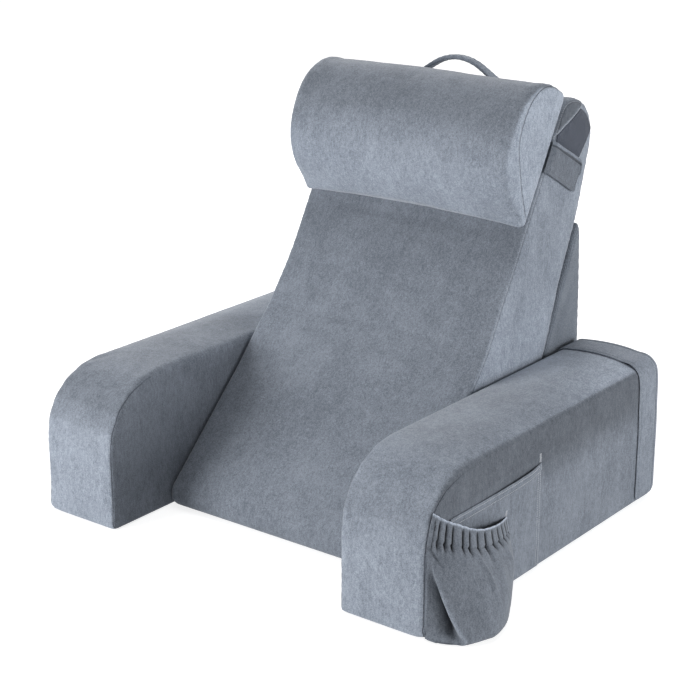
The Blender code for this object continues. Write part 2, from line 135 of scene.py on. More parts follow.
cameraSettings = {
    "place": (1.66001, -2.13176, 1.18982),
    "forward": (-0.58241, 0.74477, -0.32574),
    "right": (0.78904, 0.61431, -0.00624),
    "up": (-0.19546, 0.26066, 0.94544),
    "lens": 92.89,
}
lightSettings = {
    # name: place, aim, width, height, watts
    "frontSoft": ((-1.8, -2.9, 0.8), (0.0, 0.0, 0.2), 1.8, 1.4, 116.0),
    "rightSoft": ((3.3, 0.3, 0.7), (0.2, 0.0, 0.25), 1.8, 1.2, 70.0),
    "topSoft": ((0.0, 0.2, 3.2), (0.0, 0.0, 0.2), 2.4, 2.4, 42.0),
    "backSoft": ((-2.0, 2.4, 2.0), (0.0, 0.1, 0.4), 1.8, 1.4, 46.0),
}
studioSettings = {
    "worldStrength": 0.12,
    "floorSize": 40.0,
    "floorColour": (0.5, 0.5, 0.5, 1.0),
    "floorGlow": 0.3,  # what it lends the cloth
    "nearWhite": 0.80,  # what the camera sees of it near the pillow, and far away
    "farWhite": 1.0,
}


def makeCamera():
    data = bpy.data.cameras.new("photoCamera")
    data.sensor_width = 36.0
    data.lens = cameraSettings["lens"]
    camera = bpy.data.objects.new("photoCamera", data)
    scene.collection.objects.link(camera)
    right, up, forward, place = (Vector(cameraSettings[k]) for k in ("right", "up", "forward", "place"))
    matrix = Matrix.Identity(4)
    for row in range(3):
        matrix[row] = (right[row], up[row], -forward[row], place[row])
    camera.matrix_world = matrix
    scene.camera = camera


def makeLights():
    for name, (place, aim, width, height, watts) in lightSettings.items():
        data = bpy.data.lights.new(name, "AREA")
        data.shape = "RECTANGLE"
        data.size = width
        data.size_y = height
        data.energy = watts
        light = bpy.data.objects.new(name, data)
        light.location = place
        light.rotation_euler = (Vector(aim) - Vector(place)).to_track_quat("-Z", "Y").to_euler()
        scene.collection.objects.link(light)
    world = bpy.data.worlds.new("studio")
    world.use_nodes = True
    background = world.node_tree.nodes["Background"]
    background.inputs["Color"].default_value = (1.0, 1.0, 1.0, 1.0)
    background.inputs["Strength"].default_value = studioSettings["worldStrength"]
    scene.world = world


def makeFloor():
    deselectAll()
    bpy.ops.mesh.primitive_plane_add(size=studioSettings["floorSize"], location=(0, 0, 0))
    floor = bpy.context.object
    floor.name = "studioFloor"
    material, tree, shader, place = newMaterial("paleFloor")
    setInputs(shader, {
        "Base Color": studioSettings["floorColour"],
        "Roughness": 0.9,
        "Specular IOR Level": 0.0,
        "Emission Color": (1.0, 1.0, 1.0, 1.0),
    })
    # a white sweep: only a faint shadow is left close to the pillow
    away = addNode(tree, "ShaderNodeVectorMath", {0: place}, operation="LENGTH").outputs["Value"]
    far = stepBetween(tree, away, 0.5, 2.2)
    rise = studioSettings["farWhite"] - studioSettings["nearWhite"]
    glow = studioSettings["floorGlow"]
    seen = doMath(tree, "MULTIPLY_ADD", far, rise, studioSettings["nearWhite"] - glow)
    isSeen = addNode(tree, "ShaderNodeLightPath").outputs["Is Camera Ray"]
    strength = doMath(tree, "MULTIPLY_ADD", isSeen, seen, glow)
    tree.links.new(strength, shader.inputs["Emission Strength"])
    floor.data.materials.append(material)


# node helpers and the groups that several cloths share

def addNode(tree, kind, inputs=None, **settings):
    node = tree.nodes.new(kind)
    for key, value in settings.items():
        setattr(node, key, value)
    for key, value in (inputs or {}).items():
        if isinstance(value, bpy.types.NodeSocket):
            tree.links.new(value, node.inputs[key])
        else:
            node.inputs[key].default_value = value
    return node


def newMaterial(name):
    material = bpy.data.materials.new(name)
    material.use_nodes = True
    tree = material.node_tree
    place = addNode(tree, "ShaderNodeTexCoord").outputs["Object"]
    return material, tree, tree.nodes["Principled BSDF"], place


def setInputs(shader, values):
    for key, value in values.items():
        shader.inputs[key].default_value = value


def doMath(tree, operation, first, second=0.0, third=0.0, clamp=False):
    inputs = {0: first, 1: second}
    if operation == "MULTIPLY_ADD":
        inputs[2] = third
    return addNode(tree, "ShaderNodeMath", inputs, operation=operation, use_clamp=clamp).outputs[0]


def stepBetween(tree, value, low, high):
    inputs = {"Value": value, "From Min": low, "From Max": high}
    return addNode(tree, "ShaderNodeMapRange", inputs, interpolation_type="SMOOTHSTEP").outputs["Result"]


def noiseAt(tree, place, scale, detail, roughness=0.5, distortion=0.0):
    inputs = {"Vector": place, "Scale": scale, "Detail": detail}
    inputs.update({"Roughness": roughness, "Distortion": distortion})
    return addNode(tree, "ShaderNodeTexNoise", inputs).outputs["Fac"]


def mixColours(tree, factor, first, second):
    return addNode(tree, "ShaderNodeMix", {0: factor, 6: first, 7: second}, data_type="RGBA").outputs[2]


def bumpFrom(tree, height):
    inputs = {"Height": height, "Strength": 1.0, "Distance": 1.0}
    return addNode(tree, "ShaderNodeBump", inputs).outputs["Normal"]


def newGroup(name, inputs, outputs):
    group = bpy.data.node_groups.new(name, "ShaderNodeTree")
    for label, kind, value in inputs:
        socket = group.interface.new_socket(label, in_out="INPUT", socket_type="NodeSocket" + kind)
        if value is not None:
            socket.default_value = value
    for label, kind in outputs:
        group.interface.new_socket(label, in_out="OUTPUT", socket_type="NodeSocket" + kind)
    source = group.nodes.new("NodeGroupInput").outputs
    target = group.nodes.new("NodeGroupOutput").inputs
    return group, source, target


scene.view_settings.view_transform = "Standard"
makeCamera()
makeLights()
makeFloor()
print("studio ready")


def makeNapGroup():
    # short brushed nap: clouds where it lies differently, soft swipes and a fine grain
    group, source, target = newGroup(
        "brushedNap",
        [
            ("Place", "Vector", None),
            ("Deep", "Color", (0.1, 0.1, 0.1, 1.0)),
            ("Pale", "Color", (0.3, 0.3, 0.3, 1.0)),
            ("Mottle", "Float", 1.0),
            ("Swipes", "Float", 1.0),
            ("Grain", "Float", 1.0),
            ("Shade", "Float", 0.0),
        ],
        [("Color", "Color"), ("Roughness", "Float"), ("Height", "Float")],
    )
    place = source["Place"]
    along = {0: place, 1: (1.0, 1.0, 0.45)}  # the nap runs up and down
    drawn = addNode(group, "ShaderNodeVectorMath", along, operation="MULTIPLY").outputs[0]
    clouds = noiseAt(group, place, 7.0, 3.0, 0.55, 0.5)
    patches = noiseAt(group, drawn, 26.0, 3.0, 0.6, 0.8)
    swipes = noiseAt(group, drawn, 95.0, 3.0, 0.65, 0.3)
    fuzz = noiseAt(group, drawn, 290.0, 2.0, 0.6)
    grain = noiseAt(group, place, 620.0, 2.0, 0.7)

    def centred(value, amount):
        return doMath(group, "MULTIPLY", doMath(group, "SUBTRACT", value, 0.5), amount)

    large = doMath(group, "ADD", centred(clouds, 0.9), centred(patches, 0.65))
    large = doMath(group, "MULTIPLY", large, source["Mottle"])
    middle = doMath(group, "MULTIPLY", centred(swipes, 0.65), source["Swipes"])
    fine = doMath(group, "ADD", centred(grain, 2.2), centred(fuzz, 1.1))
    fine = doMath(group, "MULTIPLY", fine, source["Grain"])
    large = doMath(group, "ADD", large, middle)
    factor = doMath(group, "ADD", large, doMath(group, "ADD", fine, 0.5), clamp=True)
    colour = mixColours(group, factor, source["Deep"], source["Pale"])
    # painted light and shade: shade says how much paler or darker the colour is painted there
    strength = doMath(group, "ADD", source["Shade"], 1.0)
    colour = addNode(group, "ShaderNodeVectorMath", {0: colour, 3: strength}, operation="SCALE").outputs[0]
    group.links.new(colour, target["Color"])
    group.links.new(doMath(group, "MULTIPLY_ADD", factor, -0.1, 0.92), target["Roughness"])
    height = doMath(group, "MULTIPLY", grain, 0.00030)
    height = doMath(group, "MULTIPLY_ADD", fuzz, 0.00040, height)
    height = doMath(group, "MULTIPLY_ADD", swipes, 0.00035, height)
    group.links.new(height, target["Height"])
    return group


def makeSeamGroup():
    # reads a seam's signed distance, run and strength, kept on the points
    group, source, target = newGroup(
        "sewnSeam",
        [
            ("Seam", "Vector", None),
            ("Width", "Float", 0.0012),
            ("Row", "Float", 0.0022),
            ("Stitch Length", "Float", 0.0034),
        ],
        [("Line", "Float"), ("Stitch", "Float"), ("Height", "Float")],
    )
    parts = addNode(group, "ShaderNodeSeparateXYZ", {0: source["Seam"]}).outputs
    away = doMath(group, "ABSOLUTE", parts[0])
    # line: where the painted shadow of the seam's groove lies, and how strongly
    line = doMath(group, "SUBTRACT", 1.0, stepBetween(group, away, 0.0002, source["Width"]))
    line = doMath(group, "MULTIPLY", line, parts[2])
    offRow = doMath(group, "ABSOLUTE", doMath(group, "SUBTRACT", parts[0], source["Row"]))
    onRow = doMath(group, "SUBTRACT", 1.0, stepBetween(group, offRow, 0.0002, 0.0006))
    turn = doMath(group, "DIVIDE", parts[1], source["Stitch Length"])
    dash = doMath(group, "ABSOLUTE", doMath(group, "SUBTRACT", doMath(group, "FRACT", turn), 0.5))
    dash = doMath(group, "SUBTRACT", 1.0, stepBetween(group, dash, 0.26, 0.36))
    stitch = doMath(group, "MULTIPLY", doMath(group, "MULTIPLY", onRow, dash), parts[2])
    group.links.new(line, target["Line"])
    group.links.new(stitch, target["Stitch"])
    dip = doMath(group, "MULTIPLY", line, -0.0008)
    group.links.new(doMath(group, "MULTIPLY_ADD", stitch, 0.00025, dip), target["Height"])
    return group


napGroup = makeNapGroup()
seamGroup = makeSeamGroup()

suedeSettings = {
    "deep": (0.135, 0.155, 0.188, 1.0),
    "pale": (0.285, 0.318, 0.372, 1.0),
    # colour of the painted shadow in the seams' grooves
    "seamShadowColour": (0.045, 0.052, 0.068, 1.0),
    "threadColour": (0.42, 0.45, 0.50, 1.0),
    "constants": {
        "Sheen Weight": 0.4,
        "Sheen Roughness": 0.4,
        "Sheen Tint": (0.84, 0.86, 0.90, 1.0),
        "Specular IOR Level": 0.15,
    },
}


def makeSuede(name, mottle=1.0, swipes=1.0, shade=0.0, thread=0.0, seamShadow=0.8):
    material, tree, shader, place = newMaterial(name)
    shadeMark = addNode(tree, "ShaderNodeAttribute", attribute_name="shade").outputs["Fac"]
    seamMark = addNode(tree, "ShaderNodeAttribute", attribute_name="seam").outputs["Vector"]
    napInputs = {
        "Place": place,
        "Deep": suedeSettings["deep"],
        "Pale": suedeSettings["pale"],
        "Mottle": mottle,
        "Swipes": swipes,
        "Shade": doMath(tree, "ADD", shadeMark, shade),
    }
    nap = addNode(tree, "ShaderNodeGroup", napInputs, node_tree=napGroup).outputs
    seam = addNode(tree, "ShaderNodeGroup", {"Seam": seamMark}, node_tree=seamGroup).outputs
    # painted shadow along each seam's groove
    dark = doMath(tree, "MULTIPLY", seam["Line"], seamShadow)
    colour = mixColours(tree, dark, nap["Color"], suedeSettings["seamShadowColour"])
    if thread > 0:
        pale = doMath(tree, "MULTIPLY", seam["Stitch"], thread)
        colour = mixColours(tree, pale, colour, suedeSettings["threadColour"])
    tree.links.new(colour, shader.inputs["Base Color"])
    tree.links.new(nap["Roughness"], shader.inputs["Roughness"])
    height = doMath(tree, "ADD", nap["Height"], seam["Height"])
    tree.links.new(bumpFrom(tree, height), shader.inputs["Normal"])
    setInputs(shader, suedeSettings["constants"])
    return material


knitSettings = {
    "deep": (0.104, 0.122, 0.152, 1.0),
    "pale": (0.288, 0.324, 0.376, 1.0),
    "cell": 0.0022,
    "dimple": 0.0007,
    "constants": {"Roughness": 0.95, "Sheen Weight": 0.25, "Specular IOR Level": 0.15},
}


def makeKnit():
    # a coarse warp knit: rows of small dimples
    material, tree, shader, place = newMaterial("sideKnit")
    cellInputs = {"Vector": place, "Scale": 1 / knitSettings["cell"], "Randomness": 0.35}
    cells = addNode(tree, "ShaderNodeTexVoronoi", cellInputs, feature="F1").outputs["Distance"]
    dimple = stepBetween(tree, cells, 0.15, 0.75)
    clouds = noiseAt(tree, place, 16.0, 3.0, 0.6, 0.4)
    factor = doMath(tree, "MULTIPLY_ADD", clouds, 0.7, 0.42)
    factor = doMath(tree, "MULTIPLY_ADD", dimple, -0.55, factor, clamp=True)
    colour = mixColours(tree, factor, knitSettings["deep"], knitSettings["pale"])
    tree.links.new(colour, shader.inputs["Base Color"])
    height = doMath(tree, "MULTIPLY", dimple, -knitSettings["dimple"])
    tree.links.new(bumpFrom(tree, height), shader.inputs["Normal"])
    setInputs(shader, knitSettings["constants"])
    return material


loopTapeSettings = {
    "deep": (0.025, 0.030, 0.044, 1.0),
    "pale": (0.106, 0.122, 0.158, 1.0),
    "tuft": 0.0009,
    "constants": {"Roughness": 1.0, "Specular IOR Level": 0.1, "Sheen Weight": 0.3},
}


def makeLoopTape():
    # hook-and-loop tape, the loop side: dark, fuzzy and matte
    material, tree, shader, place = newMaterial("loopTape")
    tufts = noiseAt(tree, place, 430.0, 3.0, 0.7, 0.6)
    clouds = noiseAt(tree, place, 60.0, 3.0, 0.6)
    cloudy = doMath(tree, "MULTIPLY_ADD", clouds, 0.35, -0.42)
    factor = doMath(tree, "MULTIPLY_ADD", tufts, 1.5, cloudy, clamp=True)
    colour = mixColours(tree, factor, loopTapeSettings["deep"], loopTapeSettings["pale"])
    tree.links.new(colour, shader.inputs["Base Color"])
    height = doMath(tree, "MULTIPLY", tufts, loopTapeSettings["tuft"])
    tree.links.new(bumpFrom(tree, height), shader.inputs["Normal"])
    setInputs(shader, loopTapeSettings["constants"])
    return material


def makeThread(name, colour):
    material, tree, shader, place = newMaterial(name)
    twist = noiseAt(tree, place, 1800.0, 1.0)
    darker = tuple(0.6 * c for c in colour[:3]) + (1.0,)
    tree.links.new(mixColours(tree, twist, darker, colour), shader.inputs["Base Color"])
    setInputs(shader, {"Roughness": 0.6, "Sheen Weight": 0.2})
    return material


cushionSuede = makeSuede("suedeCushion")
# a lighter painted seam shadow, with pale stitches
stitchedSuede = makeSuede("suedeStitched", thread=0.75, seamShadow=0.45)
armSuede = makeSuede("suedeArm", mottle=1.05, swipes=1.2)
pocketSuede = makeSuede("suedePocket", mottle=0.9, swipes=1.2, shade=-0.12)
strapSuede = makeSuede("suedeStrap", mottle=0.7, shade=0.05)
knitCloth = makeKnit()
loopTape = makeLoopTape()
paleThread = makeThread("paleThread", (0.66, 0.69, 0.74, 1.0))
greyThread = makeThread("greyThread", (0.24, 0.265, 0.30, 1.0))
print("materials ready")


def paintedTiltShade(normals):
    # painted light and shade from which way a face points: paler on upright faces, darker where it leans
    # back
    tilt = [-1.0, -0.3, 0.0, 0.3, 0.55, 0.8, 1.0]
    paler = [0.30, 0.30, 0.20, 0.0, -0.18, -0.15, -0.04]
    return np.interp(normals[:, 2], tilt, paler)


# seams

def sampleLine(points, strengths, step):
    points = np.asarray(points, dtype=float)
    run = np.concatenate([[0.0], np.cumsum(np.linalg.norm(np.diff(points, axis=0), axis=1))])
    at = np.arange(0.0, run[-1], step)
    dense = np.stack([np.interp(at, run, points[:, k]) for k in range(3)], axis=1)
    return dense, at, np.interp(at, run, strengths)


def nearestOn(obj, points):
    places = np.empty((len(points), 3))
    normals = np.empty((len(points), 3))
    for i, point in enumerate(points):
        _, place, normal, _ = obj.closest_point_on_mesh(Vector(point))
        places[i] = place
        normals[i] = normal
    return places, normals


def layClosed(obj, points):
    # a closed line of points brought onto the mesh and evened out
    laid, _ = nearestOn(obj, points)
    for _ in range(5):
        laid = (np.roll(laid, 1, axis=0) + laid * 2 + np.roll(laid, -1, axis=0)) / 4
    return np.vstack([laid, laid[:1]])


def panelEdge(obj, nodeName, isEnd, strengthOf, push=0.0):
    # a closed seam round the end panel of a cushion, laid on the mesh
    points = readPoints(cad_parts[nodeName])
    ring = np.unique(np.round(points[isEnd(points)], 5), axis=0)
    middle = ring.mean(axis=0)
    ring = ring[np.argsort(np.arctan2(ring[:, 2] - middle[2], ring[:, 1] - middle[1]))]
    ring = np.vstack([ring, ring[:1]])
    dense, _, _ = sampleLine(ring, np.ones(len(ring)), 0.004)
    along = np.roll(dense, -2, axis=0) - np.roll(dense, 2, axis=0)
    away = np.stack([np.zeros(len(dense)), along[:, 2], -along[:, 1]], axis=1)
    away /= np.maximum(np.linalg.norm(away, axis=1), 1e-9)[:, None]
    laid = layClosed(obj, dense + away * push)
    return laid, strengthOf(laid)


def endSeams(obj, nodeName, halfWidth, strength, push):
    seams = []
    for side in (-1, 1):
        def isEnd(points, side=side):
            return points[:, 0] * side > halfWidth(points[:, 2]) - 0.0004

        seams.append(panelEdge(obj, nodeName, isEnd, lambda line: np.full(len(line), strength), push))
    return seams


def seamField(obj, seams, reach=0.04):
    # for each point: signed distance to the nearest seam, run along it, and how strongly it shows
    points = readPoints(obj)
    normals = readNormals(obj)
    parts = []
    for line, strengths in seams:
        dense, run, strength = sampleLine(line, strengths, 0.002)
        tangent = np.gradient(dense, axis=0)
        tangent /= np.maximum(np.linalg.norm(tangent, axis=1), 1e-9)[:, None]
        parts.append((dense, run, strength, tangent))
    dense, run, strength, tangent = (np.concatenate([part[k] for part in parts]) for k in range(4))
    tree = kdtree.KDTree(len(dense))
    for i, point in enumerate(dense):
        tree.insert(Vector(point), i)
    tree.balance()
    found = [tree.find(Vector(point)) for point in points]
    index = np.array([f[1] for f in found])
    distance = np.minimum(np.array([f[2] for f in found]), reach)
    offset = points - dense[index]
    side = np.cross(tangent[index], normals)
    side /= np.maximum(np.linalg.norm(side, axis=1), 1e-6)[:, None]
    signed = np.where(np.einsum("ij,ij->i", offset, side) < 0, -distance, distance)
    along = run[index] + np.einsum("ij,ij->i", offset, tangent[index])
    show = strength[index] * (1 - ramp(distance, 0.006, 0.012))
    return signed, along, show


# cushions

# what they all have in common
fillingSettings = {
    "inset": 0.003,
    "pressure": 4.0,
    "stiffness": 25.0,
    "shear": 0.4,  # a share of the stiffness
    "bending": 1.5,
    "quality": 4,
    "frames": 20,
    "seamHold": 0.4,  # how firmly the points beside a seam are held
    "puckerPitch": 0.017,
}


def inflate(obj, pinned, settings):
    filling = fillingSettings
    group = obj.vertex_groups.new(name="sewn")
    for weight in (1.0, filling["seamHold"]):
        group.add([int(i) for i in np.nonzero(np.isclose(pinned, weight))[0]], weight, "REPLACE")
    before = readPoints(obj)
    modifier = obj.modifiers.new("filling", "CLOTH")
    cloth = modifier.settings
    cloth.quality = filling["quality"]
    cloth.tension_stiffness = filling["stiffness"]
    cloth.compression_stiffness = filling["stiffness"]
    cloth.shear_stiffness = filling["stiffness"] * filling["shear"]
    cloth.bending_stiffness = filling["bending"]
    cloth.use_pressure = True
    cloth.uniform_pressure_force = filling["pressure"]
    cloth.vertex_group_mass = "sewn"
    cloth.effector_weights.gravity = 0.0
    modifier.point_cache.frame_start = 1
    modifier.point_cache.frame_end = filling["frames"]
    for step in range(1, filling["frames"] + 1):
        scene.frame_set(step)
    evaluated = obj.evaluated_get(bpy.context.evaluated_depsgraph_get())
    moved = readVectors(evaluated.data.vertices, "co") - before
    obj.modifiers.remove(modifier)
    scene.frame_set(1)
    length = np.maximum(np.linalg.norm(moved, axis=1), 1e-9)
    capped = settings["cap"] * np.tanh(length / settings["cap"])
    print(obj.name, "filled: moved up to", round(float(length.max()), 4))
    writePoints(obj, before + moved * (capped / length)[:, None])
    obj.vertex_groups.clear()


def makeCushion(nodeName, name, settings, findSeams, keepClear, shadeOf):
    obj = copyNode(nodeName, name)
    addRemesh(obj, settings["voxel"])
    smooth = obj.modifiers.new("evenOut", "SMOOTH")
    smooth.factor = 0.5
    smooth.iterations = 2
    fit = obj.modifiers.new("backToSize", "SHRINKWRAP")
    fit.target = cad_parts[nodeName]
    applyAll(obj)
    seams = findSeams(obj)
    signed, _, _ = seamField(obj, seams)
    distance = np.abs(signed)
    points = readPoints(obj)
    pinned = np.where(distance < settings["voxel"] * 1.6, fillingSettings["seamHold"], 0.0)
    pinned = np.where(distance < settings["voxel"] * 0.8, 1.0, pinned)
    pinned = np.where(points[:, 2] < 0.006, 1.0, pinned)
    # starts a little smaller between its seams, and the filling pushes it out again
    inward = fillingSettings["inset"] * ramp(distance, 0.0, 0.03) * ramp(points[:, 2], 0.004, 0.03)
    writePoints(obj, points - readNormals(obj) * inward[:, None])
    inflate(obj, pinned, settings)
    subdivide = obj.modifiers.new("finer", "SUBSURF")
    subdivide.levels = subdivide.render_levels = 1
    applyAll(obj)
    signed, along, show = seamField(obj, seams)
    points = readPoints(obj)
    lift = softNoise(points, 0.11, len(name)) + 0.35 * softNoise(points, 0.035, len(name) + 1.0)
    lift *= settings["unevenness"] * ramp(np.abs(signed), 0.0, 0.02)
    pucker = np.sin(along * 2 * math.pi / fillingSettings["puckerPitch"] + 3 * softNoise(points, 0.06, 5.0))
    lift += settings["pucker"] * pucker * bell(np.abs(signed) - 0.006, 0.009) * show
    lift -= settings["groove"] * bell(signed, 0.0028) * show
    lift *= ramp(points[:, 2], 0.002, 0.02)
    points = keepClear(points + readNormals(obj) * lift[:, None])
    points[:, 2] = np.maximum(points[:, 2], floorClear)
    writePoints(obj, points)
    addAttribute(obj, "seam", np.stack([signed, along, show], axis=1))
    addAttribute(obj, "shade", shadeOf(readPoints(obj), readNormals(obj)))
    return obj


armSettings = {
    "voxel": 0.006,
    "cap": 0.006,
    "unevenness": 0.0012,
    "pucker": 0.0002,
    "groove": 0.0007,
    "innerX": 0.2243,
    "outerX": 0.3733,
}


def makeArm(side, word):
    inner, outer = armSettings["innerX"], armSettings["outerX"]

    def findSeams(obj):
        def innerEnd(points):
            return np.abs(points[:, 0] * side - 0.224) < 0.0005

        def outerEnd(points):
            return np.abs(points[:, 0] * side - 0.373) < 0.0005

        def strength(line):
            return 0.06 + 0.94 * (1 - ramp(line[:, 1], -0.28, -0.20))

        return [
            panelEdge(obj, "arm_" + word, innerEnd, strength, 0.006),
            panelEdge(obj, "arm_" + word, outerEnd, strength, 0.008),
        ]

    def keepClear(points):
        across = np.maximum(points[:, 0] * side, inner)
        # where the pockets are sewn on, the side stays nearly flat
        flat = ramp(points[:, 2], 0.0, 0.02) * (1 - ramp(points[:, 2], 0.17, 0.20))
        crown = outer + 0.0030
        across = np.minimum(across, crown - 0.0022 * flat * (1 - ramp(points[:, 1], -0.05, 0.02)))
        points[:, 0] = across * side
        return points

    def shadeOf(points, normals):
        # painted light and shade: the right arm's top and rear top painted paler, the outer side painted
        # darker towards the top, the inner side painted darker
        outward = ramp(normals[:, 0] * side, 0.35, 0.85)
        inward = ramp(-normals[:, 0] * side, 0.5, 0.95)
        nearTop = ramp(points[:, 2], 0.12, 0.19)
        upward = ramp(normals[:, 2], 0.25, 0.75)
        # painted light on the right arm's top, painted shade on the left arm's top
        shade = paintedTiltShade(normals) + 0.07 + upward * (0.15 if side > 0 else -0.15)
        rearTop = ramp(points[:, 1], 0.0, 0.20) * upward * (0.42 if side > 0 else 0.28)
        shade = (shade + rearTop) * (1 - outward) * (1 - inward)
        return shade - outward * (0.09 + 0.38 * nearTop) - 0.24 * inward

    obj = makeCushion("arm_" + word, "arm" + word.capitalize(), armSettings, findSeams, keepClear, shadeOf)
    dress(obj, armSuede, ("arm_" + word,), 75)
    return obj


armLeft = makeArm(-1, "left")
armRight = makeArm(1, "right")
print("arms ready")

backSettings = {
    "voxel": 0.007,
    "cap": 0.007,
    "unevenness": 0.0016,
    "pucker": 0.00025,
    "groove": 0.0007,
    "lowHalf": 0.2225,
    "highHalf": 0.2165,
    "narrowing": (0.235, 0.36),
    "heel": (0.107, 0.0),  # y and z where its rear face meets the floor
    "rearUp": (0.4228, 0.9062),  # that face's direction upwards
    # painted shade: the back cushion's sides are painted darker above this line
    "paintedShadeLine": (0.230, 0.5868, 0.462),  # y, z and rise of the line the sides are darker above
}
# the straight upper front that the head cushion lies on: y and z of a point, and its direction
slopeSettings = {"foot": (0.1507, 0.4492), "up": (0.4997, 0.8663)}


def outFromSlope(points):
    (footY, footZ), (upY, upZ) = slopeSettings["foot"], slopeSettings["up"]
    y, z = points[:, 1] - footY, points[:, 2] - footZ
    return y * upY + z * upZ, -y * upZ + z * upY


def behindRear(points):
    (heelY, heelZ), (upY, upZ) = backSettings["heel"], backSettings["rearUp"]
    return (points[:, 1] - heelY) * upZ - (points[:, 2] - heelZ) * upY


def shift(points, directionY, directionZ, amount):
    points[:, 1] += directionY * amount
    points[:, 2] += directionZ * amount
    return points


def makeBack():
    def halfWidth(z):
        low, high = backSettings["lowHalf"], backSettings["highHalf"]
        return low + (high - low) * ramp(z, *backSettings["narrowing"])

    def findSeams(obj):
        return endSeams(obj, "back_cushion", halfWidth, 0.8, 0.0035)

    def keepClear(points):
        widest = halfWidth(points[:, 2]) + 0.0008
        points[:, 0] = np.clip(points[:, 0], -widest, widest)
        along, out = outFromSlope(points)
        under = ramp(along, -0.02, 0.0) * (1 - ramp(along, 0.229, 0.249))
        excess = np.maximum(0.0, out + 0.0004) * under
        upY, upZ = slopeSettings["up"]
        points = shift(points, upZ, -upY, excess)
        behind = behindRear(points)
        touching = 1 - ramp(points[:, 2], 0.45, 0.50)
        excess = np.maximum(0.0, behind + 0.0003) * touching
        upY, upZ = backSettings["rearUp"]
        return shift(points, -upZ, upY, excess)

    def shadeOf(points, normals):
        # painted light and shade: the front painted darker, most just under the head cushion; the sides
        # painted paler low down and darker above the shade line
        sideways = ramp(np.abs(normals[:, 0]), 0.5, 0.9)
        front = ramp(-normals[:, 1], 0.3, 0.8)
        near = ramp(points[:, 2], 0.33, 0.45) * (1 - ramp(points[:, 2], 0.45, 0.50))
        low = 1 - ramp(points[:, 2], 0.28, 0.42)
        y, z, rise = backSettings["paintedShadeLine"]
        above = ramp(points[:, 2] - z - (points[:, 1] - y) * rise, -0.001, 0.003)
        side = 0.21 + 0.22 * low - 0.70 * above
        return -0.13 * (1 - sideways) - 0.10 * front * near + side * sideways

    obj = makeCushion("back_cushion", "backCushion", backSettings, findSeams, keepClear, shadeOf)
    dress(obj, stitchedSuede, ("back_cushion",), 75)
    return obj


backCushion = makeBack()
print("back cushion ready")

wedgeSettings = {
    "voxel": 0.008,
    "cap": 0.006,
    "unevenness": 0.0014,
    "pucker": 0.0003,
    "groove": 0.0009,
    "half": 0.2185,
    "slit": 0.0010,
}


def makeWedge():
    def findSeams(obj):
        return endSeams(obj, "rear_wedge", lambda z: wedgeSettings["half"], 1.0, 0.002)

    def keepClear(points):
        widest = wedgeSettings["half"] + 0.0008
        points[:, 0] = np.clip(points[:, 0], -widest, widest)
        lack = np.maximum(0.0, wedgeSettings["slit"] - behindRear(points))
        upY, upZ = backSettings["rearUp"]
        return shift(points, upZ, -upY, lack)

    def shadeOf(points, normals):
        return np.zeros(len(points))

    obj = makeCushion("rear_wedge", "rearWedge", wedgeSettings, findSeams, keepClear, shadeOf)
    dress(obj, knitCloth, ("rear_wedge",), 75)
    return obj


makeWedge()
print("rear wedge ready")

headSettings = {
    "voxel": 0.005,
    "cap": 0.006,
    "unevenness": 0.0014,
    "pucker": 0.0003,
    "groove": 0.0009,
    "half": 0.2175,
    # the end panels' outline: along the flat back and out from it
    "panel": (
        (0.0190, 0.0040), (0.1250, 0.0050), (0.2325, 0.0060), (0.2330, 0.0280), (0.2305, 0.0470),
        (0.2200, 0.0640), (0.2055, 0.0772), (0.1870, 0.0880), (0.1700, 0.0935), (0.1555, 0.0945),
        (0.1390, 0.0945), (0.1226, 0.0916), (0.1087, 0.0857), (0.0936, 0.0751), (0.0779, 0.0611),
        (0.0550, 0.0420), (0.0389, 0.0246), (0.0257, 0.0117), (0.0190, 0.0040),
    ),
}


def fromSlope(along, out):
    (footY, footZ), (upY, upZ) = slopeSettings["foot"], slopeSettings["up"]
    return footY + upY * along - upZ * out, footZ + upZ * along + upY * out


def makeHead():
    def findSeams(obj):
        panel = np.array(headSettings["panel"])
        y, z = fromSlope(panel[:, 0], panel[:, 1])
        seams = []
        for side in (-1, 1):
            x = np.full(len(panel), (headSettings["half"] - 0.002) * side)
            dense, _, _ = sampleLine(np.stack([x, y, z], axis=1), np.ones(len(panel)), 0.004)
            laid = layClosed(obj, dense)
            _, out = outFromSlope(laid)
            seams.append((laid, 0.25 + 0.75 * ramp(out, 0.005, 0.02)))
        return seams

    def keepClear(points):
        along, out = outFromSlope(points)
        lack = np.maximum(0.0, 0.0004 - out)
        upY, upZ = slopeSettings["up"]
        return shift(points, -upZ, upY, lack)

    def shadeOf(points, normals):
        # painted light on the end caps and painted shade towards the top
        cap = ramp(np.abs(normals[:, 0]), 0.6, 0.95)
        nearTop = ramp(normals[:, 2], 0.3, 0.7)
        return (paintedTiltShade(normals) - 0.10 * nearTop) * (1 - cap) + 0.60 * cap

    obj = makeCushion("headrest", "headCushion", headSettings, findSeams, keepClear, shadeOf)
    dress(obj, cushionSuede, ("headrest",), 75)
    return obj


makeHead()
print("head cushion ready")


# cloth laid or sewn on the cushions

def clothGrid(name, columns, rows, place):
    deselectAll()
    bpy.ops.mesh.primitive_grid_add(x_subdivisions=columns, y_subdivisions=rows, size=2, location=(0, 0, 0))
    obj = bpy.context.object
    obj.name = name
    flat = readPoints(obj)
    writePoints(obj, place(flat[:, 0] / 2 + 0.5, flat[:, 1] / 2 + 0.5))
    return obj


def thicken(obj, thickness, levels=0):
    solidify = obj.modifiers.new("clothThickness", "SOLIDIFY")
    solidify.thickness = thickness
    solidify.offset = -1.0
    solidify.use_even_offset = False
    if levels:
        subdivide = obj.modifiers.new("rounder", "SUBSURF")
        subdivide.levels = subdivide.render_levels = levels
    applyAll(obj)


